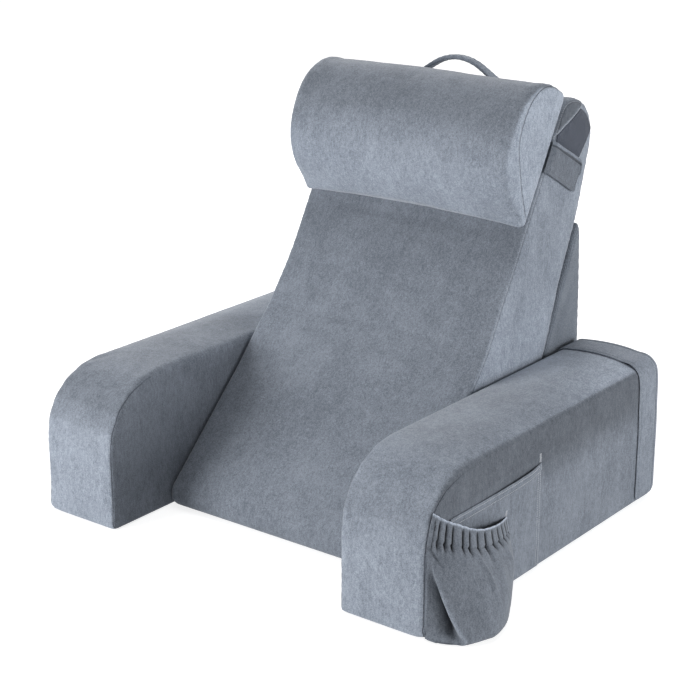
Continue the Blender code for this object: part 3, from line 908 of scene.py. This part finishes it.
def castAt(objs, origins, directions, fallback=0.05):
    # distance along each ray to the nearest of the objects
    reached = np.full(len(origins), np.nan)
    for i, (origin, direction) in enumerate(zip(origins, directions)):
        for obj in objs:
            hit, place, _, _ = obj.ray_cast(Vector(origin), Vector(direction))
            if hit:
                length = (place - Vector(origin)).length
                if np.isnan(reached[i]) or length < reached[i]:
                    reached[i] = length
    return np.where(np.isnan(reached), fallback, reached)


def sideX(objs, y, z, fallback):
    origins = np.stack([np.full(len(y), 0.6), y, z], axis=1)
    directions = np.tile((-1.0, 0.0, 0.0), (len(y), 1))
    reached = castAt(objs, origins, directions, np.nan)
    return np.where(np.isnan(reached), fallback, 0.6 - reached)


def evenOut(line, times):
    for _ in range(times):
        line[1:-1] = (line[:-2] + 2 * line[1:-1] + line[2:]) / 4
    return line


def edgeLift(distance, radius, height):
    # rounds a cloth's border down over a short distance
    t = np.clip(distance / radius, 0.0, 1.0)
    return height * (1 - np.sqrt(np.clip(1 - (1 - t) ** 2, 0.0, 1.0)))


stitchSettings = {"pitch": 0.0036, "length": 0.0027, "width": 0.0007}


def makeStitchSeed():
    deselectAll()
    bpy.ops.mesh.primitive_uv_sphere_add(segments=6, ring_count=4, radius=0.5, location=(0, 0, 0))
    seed = bpy.context.object
    points = readPoints(seed)[:, [2, 0, 1]]
    faces = [tuple(face.vertices) for face in seed.data.polygons]
    mesh = seed.data
    bpy.data.objects.remove(seed)
    bpy.data.meshes.remove(mesh)
    return points, faces


stitchPoints, stitchFaces = makeStitchSeed()


def sewStitches(name, surface, lines, material, pitch=None, length=None, width=None):
    # one short thread after another along each line, half sunk in the cloth
    pitch = pitch or stitchSettings["pitch"]
    length = length or stitchSettings["length"]
    width = width or stitchSettings["width"]
    points, faces = [], []
    for line in lines:
        dense, _, _ = sampleLine(line, np.ones(len(line)), pitch)
        laid, normals = nearestOn(surface, dense)
        for here, after, normal in zip(laid, laid[1:], normals):
            along = after - here
            size = np.linalg.norm(along)
            if size < pitch * 0.4 or size > pitch * 2.5:
                continue
            along /= size
            side = np.cross(normal, along)
            side /= max(np.linalg.norm(side), 1e-9)
            frameAxes = np.stack([along * length, side * width, np.cross(along, side) * width])
            start = len(points) * len(stitchPoints)
            points.append(stitchPoints @ frameAxes + (here + after) / 2 + normal * width * 0.12)
            faces += [tuple(index + start for index in face) for face in stitchFaces]
    mesh = bpy.data.meshes.new(name)
    mesh.from_pydata(np.concatenate(points).tolist(), [], faces)
    mesh.update()
    obj = bpy.data.objects.new(name, mesh)
    scene.collection.objects.link(obj)
    return dress(obj, material)


def barTack(start, end, width):
    # a dense zigzag of thread from one point to the other, on the arm's outer side
    start, end = np.array(start), np.array(end)
    run = end - start
    turns = int(np.linalg.norm(run) / 0.0009)
    across = np.array([0.0, -run[2], run[1]]) / np.linalg.norm(run) * width / 2
    steps = np.arange(turns + 1)[:, None]
    return start + run * steps / turns + across * np.where(steps % 2, 1.0, -1.0)


# arm bands

bandSettings = {
    "frontY": 0.251,
    "width": 0.058,
    "thickness": 0.0022,
    "lift": 0.0006,
    "innerX": 0.2236,
    "outerX": 0.3735,
    "innerStart": 0.190,
    "endZ": 0.008,
    "cornerRadius": 0.014,
    "stitchX": 0.378,  # just outside the band, for the row near its end
    "stitchCorner": 0.009,
    "hem": 0.0062,  # stitch row in from the edge
    "innerRadius": 0.012,
    "outerRadius": 0.024,
    "armHeight": 0.243,
}


def bandRoute():
    # x and z of the arm's section, from its inner side over its top to its outer side
    s = bandSettings
    inner, outer = s["innerX"], s["outerX"]
    points = [(inner, s["innerStart"])]
    for k in range(6):
        angle = math.pi / 2 * k / 5
        points.append((
            inner + s["innerRadius"] * (1 - math.cos(angle)),
            s["armHeight"] - s["innerRadius"] * (1 - math.sin(angle)),
        ))
    for k in range(8):
        angle = math.pi / 2 * (1 - k / 7)
        points.append((
            outer - s["outerRadius"] * (1 - math.cos(angle)),
            s["armHeight"] - s["outerRadius"] * (1 - math.sin(angle)),
        ))
    points.append((outer, s["endZ"]))
    return np.array(points)


def makeBand(side, word, arm):
    s = bandSettings
    route = bandRoute()
    run = np.concatenate([[0.0], np.cumsum(np.linalg.norm(np.diff(route, axis=0), axis=1))])
    total = run[-1]
    stations = 150
    at = np.linspace(0, total, stations + 1)
    x, z = (evenOut(np.interp(at, run, route[:, k]), 6) for k in range(2))
    tangentX, tangentZ = np.gradient(x), np.gradient(z)
    size = np.hypot(tangentX, tangentZ)
    normalX, normalZ = -tangentZ / size, tangentX / size
    height = np.full(stations + 1, -1.0)
    for share in (0.1, 0.5, 0.9):
        y = np.full(stations + 1, s["frontY"] + s["width"] * share)
        origins = np.stack([(x + normalX * 0.03) * side, y, z + normalZ * 0.03], axis=1)
        directions = np.stack([-normalX * side, np.zeros(stations + 1), -normalZ], axis=1)
        height = np.maximum(height, 0.03 - castAt([arm], origins, directions, 0.03))
    height = evenOut(np.clip(height, -0.004, 0.004), 4)
    steps = np.arange(stations + 1)

    def place(along, across):
        if side < 0:
            across = 1 - across
        # columns stand closer together at both edges
        across = 0.5 - 0.5 * np.cos(math.pi * (0.12 + 0.76 * across))
        across = (across - across.min()) / (across.max() - across.min())
        index = along * stations
        remaining = (1 - along) * total
        radius = s["cornerRadius"]
        short = np.clip(1 - remaining / radius, 0.0, 1.0)
        half = s["width"] / 2 - radius * (1 - np.sqrt(1 - short ** 2))
        offset = (across * 2 - 1) * half
        edge = np.minimum(half - np.abs(offset), remaining)
        lift = s["lift"] + s["thickness"] + 0.0004 * bell(edge - 0.5 * s["hem"], 0.0028)
        lift += 0.0004 * ramp(edge, s["hem"], 0.02) - 0.0009 * bell(edge - s["hem"], 0.0011)
        lift -= edgeLift(edge, 0.0016, 0.0010)
        slack = softNoise(np.stack([offset * side, along * 0.4, along * 0], axis=1), 0.05, 3.0)
        lift += 0.0006 * slack * ramp(edge, 0.0, 0.01)
        lift += np.interp(index, steps, height)
        px, pz, nx, nz = (np.interp(index, steps, line) for line in (x, z, normalX, normalZ))
        px, pz = px + nx * lift, pz + nz * lift
        py = s["frontY"] + s["width"] / 2 + offset
        return np.stack([px * side, py, pz], axis=1)

    name = "armBand" + word.capitalize()
    obj = clothGrid(name, stations, 44, place)
    thicken(obj, s["thickness"])

    hemShare = s["hem"] / s["width"]
    lines = []
    for share in (hemShare, 1 - hemShare):
        index = np.linspace(0, 1 - s["cornerRadius"] / total, 160)
        px = np.interp(index * stations, steps, x + normalX * 0.004) * side
        pz = np.interp(index * stations, steps, z + normalZ * 0.004)
        lines.append(np.stack([px, np.full(160, s["frontY"] + s["width"] * share), pz], axis=1))
    bottomZ = s["endZ"] + s["hem"]
    front, rear, cut = s["frontY"] + s["hem"], s["frontY"] + s["width"] - s["hem"], s["stitchCorner"]
    end = [(front, cut), (front + cut, 0.0), (rear - cut, 0.0), (rear, cut)]
    lines.append(np.array([(s["stitchX"] * side, y, bottomZ + rise) for y, rise in end]))
    dress(obj, strapSuede, ("arm_band_" + word,), 50)
    sewStitches(name + "Stitches", obj, lines, greyThread)
    return obj


makeBand(-1, "left", armLeft)
makeBand(1, "right", armRight)
print("arm bands ready")


# hook-and-loop patches and the head cushion's tabs, on the back cushion's sides

patchSettings = {
    "cell": 0.0006,
    "tufts": 0.0003,
    # y and z of the stitch lines beside its long edges
    "stitches": (
        ((0.2300, 0.5868), (0.3170, 0.6270)),
        ((0.2960, 0.5310), (0.3440, 0.5835), (0.3285, 0.6090)),
    ),
}
tabSettings = {
    "flatX": 0.2193,  # the face of the patch it lies on
    "start": 0.103,  # along the head cushion's flat back
    "width": 0.052,
    "reach": 0.097,
    "thickness": 0.0022,
    "upperRadius": 0.017,
    "lowerRadius": 0.005,
    "hem": 0.0045,
    "lip": 0.0062,  # width of its thick upper edge
    "lipHeight": 0.0030,
    "upperLift": 0.0022,
    "lowerLift": 0.0014,
    "shade": -0.32,
}


def backSideX(y, z, side):
    origins = np.stack([np.full(len(y), 0.5 * side), y, z], axis=1)
    directions = np.tile((-float(side), 0.0, 0.0), (len(y), 1))
    reached = castAt([backCushion], origins, directions, np.nan)
    return np.where(np.isnan(reached), backSettings["highHalf"], 0.5 - reached)


def makePatch(side, word):
    s = patchSettings
    obj = copyNode("loop_patch_" + word, "loopPatch" + word.capitalize())
    addRemesh(obj, s["cell"])
    decimate = obj.modifiers.new("lighter", "DECIMATE")
    decimate.ratio = 0.25
    applyAll(obj)
    points = readPoints(obj)
    surface = backSideX(points[:, 1], points[:, 2], side)
    up = np.abs(points[:, 0]) - np.abs(points[:, 0]).min()
    tufts = s["tufts"] * softNoise(points, 0.004, 4.0) * (up > s["cell"])
    points[:, 0] = side * (surface + 0.0003 + up + tufts)
    writePoints(obj, points)
    dress(obj, loopTape, ("loop_patch_" + word,), 60)
    lines = [np.array([(backSettings["highHalf"] * side, y, z) for y, z in line]) for line in s["stitches"]]
    sewStitches(obj.name + "Stitches", backCushion, lines, paleThread, width=0.0010)
    return obj


def makeTab(side, word):
    s = tabSettings

    def place(along, across):
        # along runs out from the head cushion's back edge, down towards the back of the cushion
        if side < 0:
            across = 1 - across
        total = s["reach"]
        remaining = (1 - along) * total
        radius = np.where(across > 0.5, s["upperRadius"], s["lowerRadius"])
        short = np.clip(1 - remaining / radius, 0.0, 1.0)
        half = s["width"] / 2 - radius * (1 - np.sqrt(1 - short ** 2))
        offset = (across * 2 - 1) * half
        edge = np.minimum(half - np.abs(offset), remaining)
        out = -(0.0016 + along * (total - 0.0016))
        y, z = fromSlope(s["start"] + s["width"] / 2 + offset, out)
        fromUpper = half - offset
        bend = 0.0059 * (1 - ramp(-out, 0.0, 0.010))
        lift = s["thickness"] + 0.0006 - bend
        lift += s["upperLift"] * (1 - ramp(fromUpper, 0.0, 0.018)) * ramp(along, 0.25, 0.6)
        lift += s["lowerLift"] * (1 - ramp(half + offset, 0.0, 0.012)) * ramp(along, 0.10, 0.35)
        roll = np.sqrt(np.clip(1 - (2 * fromUpper / s["lip"] - 1) ** 2, 0.0, 1.0))
        lift += s["lipHeight"] * roll * ramp(along, 0.02, 0.5) * ramp(remaining, 0.002, 0.016)
        lift -= 0.0010 * bell(fromUpper - s["lip"] - 0.0008, 0.0012)
        lift -= 0.0007 * bell(edge - s["hem"], 0.0010) * ramp(fromUpper, s["lip"], s["lip"] + 0.003)
        lift -= edgeLift(edge, 0.0014, 0.0008)
        return np.stack([side * (s["flatX"] + lift), y, z], axis=1)

    name = "headTab" + word.capitalize()
    obj = clothGrid(name, 80, 64, place)
    along, _ = outFromSlope(readPoints(obj))
    fromUpper = s["start"] + s["width"] - along
    # painted highlight along the thick upper lip, painted shadow just below it, and the whole tab painted
    # darker
    shade = s["shade"] + 0.30 * (1 - ramp(fromUpper, s["lip"] - 0.002, s["lip"]))
    shade -= 0.40 * bell(fromUpper - s["lip"] - 0.0006, 0.0014)
    addAttribute(obj, "shade", shade)
    thicken(obj, s["thickness"])
    dress(obj, strapSuede, ("headrest_tab_" + word,), 50)
    hem = s["hem"] / s["width"]
    samples = np.linspace(0.12, 1 - s["hem"] / s["reach"], 60)
    lines = [place(samples, np.full(60, share)) for share in (hem, 1 - (s["lip"] + 0.003) / s["width"])]
    crossing = np.linspace(hem, 0.8, 30)
    lines.append(place(np.full(30, 1 - s["hem"] / s["reach"]), crossing))
    sewStitches(name + "Stitches", obj, lines, greyThread)
    return obj


for side, word in ((-1, "left"), (1, "right")):
    makePatch(side, word)
    makeTab(side, word)
print("patches and tabs ready")


# carry handle

handleSettings = {
    "middle": (-0.0045, 0.290, 0.6442),
    "tilt": math.radians(6),  # it follows the back cushion's round top
    "squareness": 0.6,  # of its section: 1 is an ellipse, less is squarer
    # distance from the middle, height above the cushion, width, thickness
    "sections": (
        (0.098, 0.0020, 0.030, 0.0030),
        (0.090, 0.0020, 0.030, 0.0032),
        (0.078, 0.0050, 0.028, 0.0040),
        (0.066, 0.0120, 0.024, 0.0055),
        (0.052, 0.0210, 0.020, 0.0070),
        (0.036, 0.0305, 0.018, 0.0080),
        (0.018, 0.0365, 0.018, 0.0084),
        (0.0, 0.0385, 0.018, 0.0084),
    ),
}


def squared(value):
    return np.sign(value) * np.abs(value) ** handleSettings["squareness"]


def makeHandle():
    table = np.array([(-x, up, w, t) for x, up, w, t in handleSettings["sections"]])
    table = np.vstack([table, [(-x, up, w, t) for x, up, w, t in table[-2::-1]]])
    steps = np.arange(len(table))
    stations = 120
    at = np.linspace(0, len(table) - 1, stations + 1)
    x, up, width, thick = (evenOut(np.interp(at, steps, table[:, k]), 14) for k in range(4))
    tangentX, tangentZ = np.gradient(x), np.gradient(up)
    size = np.hypot(tangentX, tangentZ)
    tangentX, tangentZ = tangentX / size, tangentZ / size
    middle = handleSettings["middle"]

    def place(along, around):
        index, whole = along * stations, np.arange(stations + 1)
        lines = (x, up, width, thick, tangentX, tangentZ)
        px, pz, w, t, tx, tz = (np.interp(index, whole, line) for line in lines)
        angle = 2 * math.pi * around
        across = squared(np.cos(angle)) * w / 2
        out = squared(np.sin(angle)) * t / 2
        # a stitched groove runs along the top of the grip, where its edges meet
        out -= 0.0012 * bell(across - 0.3 * w / 2, 0.0014) * (out > 0) * ramp(t, 0.004, 0.007)
        out += 0.0002 * np.sin(along * 160) * ramp(t, 0.004, 0.007)
        y = middle[1] + across * math.cos(handleSettings["tilt"])
        z = middle[2] + pz + tx * out - across * math.sin(handleSettings["tilt"])
        return np.stack([middle[0] + px - tz * out, y, z], axis=1)

    obj = clothGrid("carryHandle", stations, 40, place)
    pick(obj)
    bpy.ops.object.mode_set(mode="EDIT")
    bpy.ops.mesh.select_all(action="SELECT")
    bpy.ops.mesh.remove_doubles(threshold=0.00002)
    bpy.ops.mesh.fill_holes(sides=0)
    bpy.ops.mesh.normals_make_consistent(inside=False)
    bpy.ops.object.mode_set(mode="OBJECT")
    return dress(obj, strapSuede, ("carry_handle",), 50)


makeHandle()
print("carry handle ready")


# the flat pocket on the right arm's outer side

flatPocketSettings = {
    "frontY": -0.269,
    "rearY": -0.037,
    "bottomZ": 0.006,
    "mouthFrontZ": 0.1655,
    "mouthRearZ": 0.1725,
    "sag": 0.0030,  # of the mouth, midway
    "thickness": 0.0016,
    "hem": 0.012,
    "gap": 0.0006,
    "slack": 0.0030,
    "flatSize": (0.232, 0.188),
}


def makeFlatPocket():
    s = flatPocketSettings

    def place(along, up):
        y = s["frontY"] + (s["rearY"] - s["frontY"]) * along
        top = s["mouthFrontZ"] + (s["mouthRearZ"] - s["mouthFrontZ"]) * along
        top = top - s["sag"] * np.sin(math.pi * along)
        z = s["bottomZ"] + (top - s["bottomZ"]) * up
        fromTop = top - z
        edge = np.minimum(np.minimum(y - s["frontY"], s["rearY"] - y), z - s["bottomZ"])
        lift = s["gap"] + s["thickness"]
        loose = ramp(z, 0.09, s["mouthFrontZ"]) * ramp(edge, 0.0, 0.03) * ramp(along, 0.2, 0.75)
        lift = lift + s["slack"] * loose
        lift += 0.0012 * bell(fromTop - 0.5 * s["hem"], 0.006)
        lift -= 0.0006 * bell(fromTop - s["hem"], 0.0011) + 0.0005 * bell(fromTop - 0.0035, 0.0010)
        lift -= 0.0006 * bell(edge - 0.0030, 0.0010) + 0.0004 * bell(edge - 0.0085, 0.0010)
        lift += 0.0004 * bell(edge - 0.0057, 0.0018)
        flatPlace = np.stack([y * 0, y, z * 0.45], axis=1)
        lift += 0.0010 * softNoise(flatPlace, 0.030, 6.0) * ramp(edge, 0.006, 0.03)
        lift -= edgeLift(np.minimum(edge, fromTop), 0.0014, 0.0005)
        x = sideX([armRight], y, z, 0.3735) + lift
        return np.stack([x, y, z], axis=1)

    obj = clothGrid("flatPocket", 110, 84, place)
    thicken(obj, s["thickness"])
    dress(obj, pocketSuede, ("flat_pocket",), 50)
    lines = []
    samples = np.linspace(0.015, 0.985, 80)
    height = s["mouthFrontZ"] - s["bottomZ"]
    for drop in (0.0035, s["hem"]):
        lines.append(place(samples, np.full(80, 1 - drop / height)))
    upward = np.linspace(0.02, 1.0, 60)
    for inset in (0.0030, 0.0085):
        lines.append(place(np.full(60, 1 - inset / (s["rearY"] - s["frontY"])), upward))
    lines.append(place(np.full(60, 0.0030 / (s["rearY"] - s["frontY"])), upward))
    sewStitches("flatPocketStitches", obj, lines, paleThread, width=0.0009)
    tack = barTack((0.375, -0.0380, 0.1735), (0.375, -0.0380, 0.1870), 0.0055)
    sewStitches("flatPocketTack", armRight, [tack], paleThread, pitch=0.0012, length=0.0016)
    return obj


flatPocket = makeFlatPocket()
print("flat pocket ready")


# the gathered bottle pocket

bottleSettings = {
    # way down from the mouth to the floor, then the stand-outs and the Y places of nine stations
    # from the front seam to the rear seam
    "rows": (
        (0.00, (0, 0.0090, 0.0165, 0.0210, 0.0220, 0.0200, 0.0150, 0.0075, 0),
         (-0.3035, -0.2870, -0.2660, -0.2440, -0.2200, -0.1970, -0.1740, -0.1520, -0.1320)),
        (0.19, (0, 0.0110, 0.0200, 0.0250, 0.0265, 0.0250, 0.0200, 0.0120, 0),
         (-0.3150, -0.2950, -0.2720, -0.2470, -0.2210, -0.1960, -0.1710, -0.1480, -0.1260)),
        (0.42, (0, 0.0180, 0.0370, 0.0490, 0.0530, 0.0500, 0.0385, 0.0220, 0),
         (-0.3190, -0.3080, -0.2870, -0.2590, -0.2300, -0.2010, -0.1720, -0.1450, -0.1190)),
        (0.70, (0, 0.0290, 0.0550, 0.0695, 0.0710, 0.0620, 0.0445, 0.0230, 0),
         (-0.3200, -0.3175, -0.3015, -0.2735, -0.2410, -0.2090, -0.1780, -0.1470, -0.1150)),
        (0.94, (0, 0.0345, 0.0630, 0.0755, 0.0690, 0.0550, 0.0375, 0.0190, 0),
         (-0.3210, -0.3178, -0.2985, -0.2665, -0.2325, -0.2005, -0.1710, -0.1415, -0.1120)),
    ),
    "mouthZ": (0.1860, 0.1725, 0.1605, 0.1485, 0.1395, 0.1340, 0.1290, 0.1245, 0.1215),
    "floorShares": (0.97, 0.86, 0.45, 0.04),  # of the last row's stand-out, on the floor
    "valleys": (0.028, 0.075, 0.137, 0.192, 0.285, 0.348, 0.430, 0.521, 0.617, 0.710, 0.800, 0.885, 0.955),
    "valleyDepths": (0.5, 1.0, 1.1, 1.2, 0.8, 1.2, 0.8, 1.0, 1.1, 0.7, 0.8, 0.7, 0.5, 0.5, 0.3),
    "pleatDepth": 0.0036,
    "foldDepth": 0.026,
    "foldRidge": 0.0040,
    "casing": 0.19,  # way down to the seam under the elastic
    "thickness": 0.0014,
    "gap": 0.0008,
    "floorZ": 0.0042,
    "frontX": 0.3690,
    "flatSize": (0.285, 0.172),
    "shade": -0.14,
}


def curveThrough(places, values, at):
    # a smooth curve through the values at the given places
    places = np.asarray(places, dtype=float)
    slopes = np.gradient(values, places, axis=0)
    index = np.clip(np.searchsorted(places, at, side="right") - 1, 0, len(places) - 2)
    shape = (-1,) + (1,) * (values.ndim - 1)
    width = (places[index + 1] - places[index]).reshape(shape)
    t = (at - places[index]).reshape(shape) / width
    low = (2 * t ** 3 - 3 * t ** 2 + 1) * values[index]
    low = low + (t ** 3 - 2 * t ** 2 + t) * width * slopes[index]
    index = index + 1
    return low + (3 * t ** 2 - 2 * t ** 3) * values[index] + (t ** 3 - t ** 2) * width * slopes[index]


def bottleBase(columns, rows):
    # the pocket before its gathers and folds: points, how far down each row is, and the stations
    s = bottleSettings
    mouth = np.array(s["mouthZ"])
    table, downs = [], []
    for down, out, y in s["rows"]:
        table.append(np.stack([out, y, mouth + (s["floorZ"] - mouth) * down], axis=1))
        downs.append(down)
    last = table[-1]
    for share in s["floorShares"]:
        y = last[:, 1] + 0.08 * (1 - share) * (last[:, 1].mean() - last[:, 1])
        table.append(np.stack([last[:, 0] * share, y, np.full(len(mouth), s["floorZ"])], axis=1))
        downs.append(2.0 - share)
    table = np.array(table)
    spread = np.linalg.norm(np.diff(table[:, len(mouth) // 2], axis=0), axis=1)
    spread = np.concatenate([[0.0], np.cumsum(spread)])
    spread /= spread[-1]
    at = np.linspace(0, 1, rows + 1)
    across = np.linspace(0, 1, columns + 1)
    points = curveThrough(spread, table, at)
    points = curveThrough(np.linspace(0, 1, len(mouth)), points.transpose(1, 0, 2), across)
    points = points.transpose(1, 0, 2)
    points[:, :, 0] = np.maximum(points[:, :, 0], 0.0)
    return points, curveThrough(spread, np.array(downs), at), across


def bottleRelief(w, down):
    # height of the gathers and folds over the plain pocket, and the light and shade painted on them
    s = bottleSettings
    casing = s["casing"]
    free = ramp(np.minimum(w, 1 - w), 0.0, 0.03)
    valleys = np.concatenate([[0.0], s["valleys"], [1.0]])
    phase = np.interp(w, valleys, np.arange(len(valleys)))
    lobe = np.abs(np.sin(math.pi * phase)) ** 0.4
    depth = np.interp(phase, np.arange(len(valleys)), s["valleyDepths"])
    gathered = (0.4 + 0.6 * ramp(down, 0.0, 0.07)) * (1 - 0.95 * ramp(down, casing + 0.005, casing + 0.10))
    height = s["pleatDepth"] * depth * (lobe - 0.85) * gathered * free
    # painted shade in the valleys between the gathers
    shade = -0.75 * (1 - ramp(lobe, 0.30, 0.97)) * gathered * free * ramp(down, 0.015, 0.05)
    # the seam under the elastic, and the cloth swelling below it
    height -= 0.0013 * bell(down - casing, 0.008) * free
    height += 0.0016 * bell(down - casing - 0.06, 0.035) * free
    # painted shadow along the seam under the elastic
    shade -= 0.35 * bell(down - casing, 0.0045) * ramp(w, 0.25, 0.35) * free
    # some gathers run on below it
    for place, size, length in (
        (0.075, 0.0030, 0.09), (0.137, 0.0024, 0.07), (0.192, 0.0020, 0.06), (0.348, 0.0028, 0.08),
        (0.521, 0.0042, 0.17), (0.617, 0.0016, 0.07), (0.710, 0.0022, 0.10), (0.885, 0.0018, 0.10),
    ):
        reach = ramp(down, casing - 0.02, casing + 0.01) * (1 - ramp(down, casing + 0.02, casing + length))
        mark = bell(w - place - 0.10 * (down - casing), 0.017) * reach * free
        height -= size * mark
        # painted shade down each gather
        shade -= 60.0 * size * mark
    # a soft fold down the middle, and another near the rear seam
    for place, lean, width, size, low, high in (
        (0.395, 0.20, 0.020, 0.0028, 0.22, 0.66),
        (0.500, 0.14, 0.030, -0.0022, 0.24, 0.50),
        (0.760, -0.10, 0.030, 0.0020, 0.24, 0.62),
        (0.640, 0.02, 0.040, -0.0016, 0.26, 0.70),
    ):
        reach = ramp(down, low, low + 0.10) * (1 - ramp(down, high - 0.20, high))
        height += size * bell(w - place - lean * (down - low), width) * reach * free
    # the big slack fold: a ridge that runs from the front seam to the pocket's front corner
    fall = np.clip((down - 0.30) / 0.65, 0.0, 1.0)
    ridge = 0.012 + 0.193 * fall ** 0.75
    q = np.clip(w / ridge, 0.0, 2.0)
    hollow = q ** 1.3 * (1 - ramp(q, 0.72, 1.02))
    deep = ramp(down, 0.34, 0.74) * (1 - 0.85 * ramp(down, 0.86, 1.0))
    height -= s["foldDepth"] * hollow * deep
    shown = ramp(down, 0.32, 0.55) * (1 - 0.8 * ramp(down, 0.84, 1.0))
    height += s["foldRidge"] * bell(w - ridge, 0.020) * shown
    height -= 0.0034 * bell(w - ridge - 0.105, 0.055) * ramp(down, 0.45, 0.75)
    # painted shade in the fold's hollow and a painted highlight along its ridge
    shade -= 0.80 * hollow * deep
    shade += 0.50 * bell(w - ridge - 0.004, 0.011) * ramp(down, 0.38, 0.70)
    # a short crease above the ridge's start
    crease = bell(down - 0.25 - 0.9 * w, 0.016) * (1 - ramp(w, 0.05, 0.16))
    height -= 0.0030 * crease * free
    # painted shade in the crease
    shade -= 0.20 * crease
    # the turned edges catch the light
    shade += 1.6 * (1 - ramp(down, 0.006, 0.018)) + 0.5 * ramp(w, 0.975, 0.99) * ramp(down, 0.02, 0.1)
    # the floor is drawn flat
    height *= 1 - ramp(down, 1.02, 1.10)
    return height, np.maximum(shade + s["shade"], -0.85), lobe


def makeBottlePocket():
    s = bottleSettings
    columns, rows = 250, 130
    base, downs, across = bottleBase(columns, rows)
    w, down = np.meshgrid(across, downs)
    height, shade, lobe = bottleRelief(w, down)
    height += 0.0011 * softNoise(base.reshape(-1, 3), 0.040, 8.0).reshape(w.shape) * ramp(down, 0.2, 0.4)
    normals = np.cross(np.gradient(base, axis=0), np.gradient(base, axis=1))
    normals /= np.maximum(np.linalg.norm(normals, axis=2), 1e-9)[:, :, None]
    points = base + normals * (height * ramp(np.minimum(w, 1 - w), 0.0, 0.02))[:, :, None]
    points[:, :, 2] += 0.0014 * (lobe - 0.8) * (1 - ramp(down, 0.0, 0.08))
    points[:, :, 2] = np.maximum(points[:, :, 2], s["thickness"] + 0.001)
    clear = s["gap"] + s["thickness"]
    y, z = points[:, :, 1].ravel(), points[:, :, 2].ravel()
    surface = sideX([armRight, flatPocket], y, z, 0.3735).reshape(w.shape)
    front = sideX([armRight, flatPocket], points[:, 0, 1], points[:, 0, 2], s["frontX"])
    front = np.maximum(front, s["frontX"])[:, None]
    rear = sideX([armRight, flatPocket], points[:, -1, 1], points[:, -1, 2], 0.3755)[:, None]
    ends = front * (1 - w) + rear * w
    points[:, :, 0] = np.maximum(surface + clear, ends + clear + points[:, :, 0])
    # the grid starts at its lower edge
    laid = points[::-1].reshape(-1, 3)
    obj = clothGrid("bottlePocket", columns, rows, lambda u, up: laid)
    addAttribute(obj, "shade", shade[::-1].ravel())
    thicken(obj, s["thickness"])
    dress(obj, pocketSuede, ("bottle_pocket",), 80)
    tack = barTack((0.378, -0.1330, 0.1215), (0.378, -0.1300, 0.1300), 0.0048)
    sewStitches("bottlePocketTack", flatPocket, [tack], paleThread, pitch=0.0012, length=0.0016)
    return obj


makeBottlePocket()
print("bottle pocket ready")
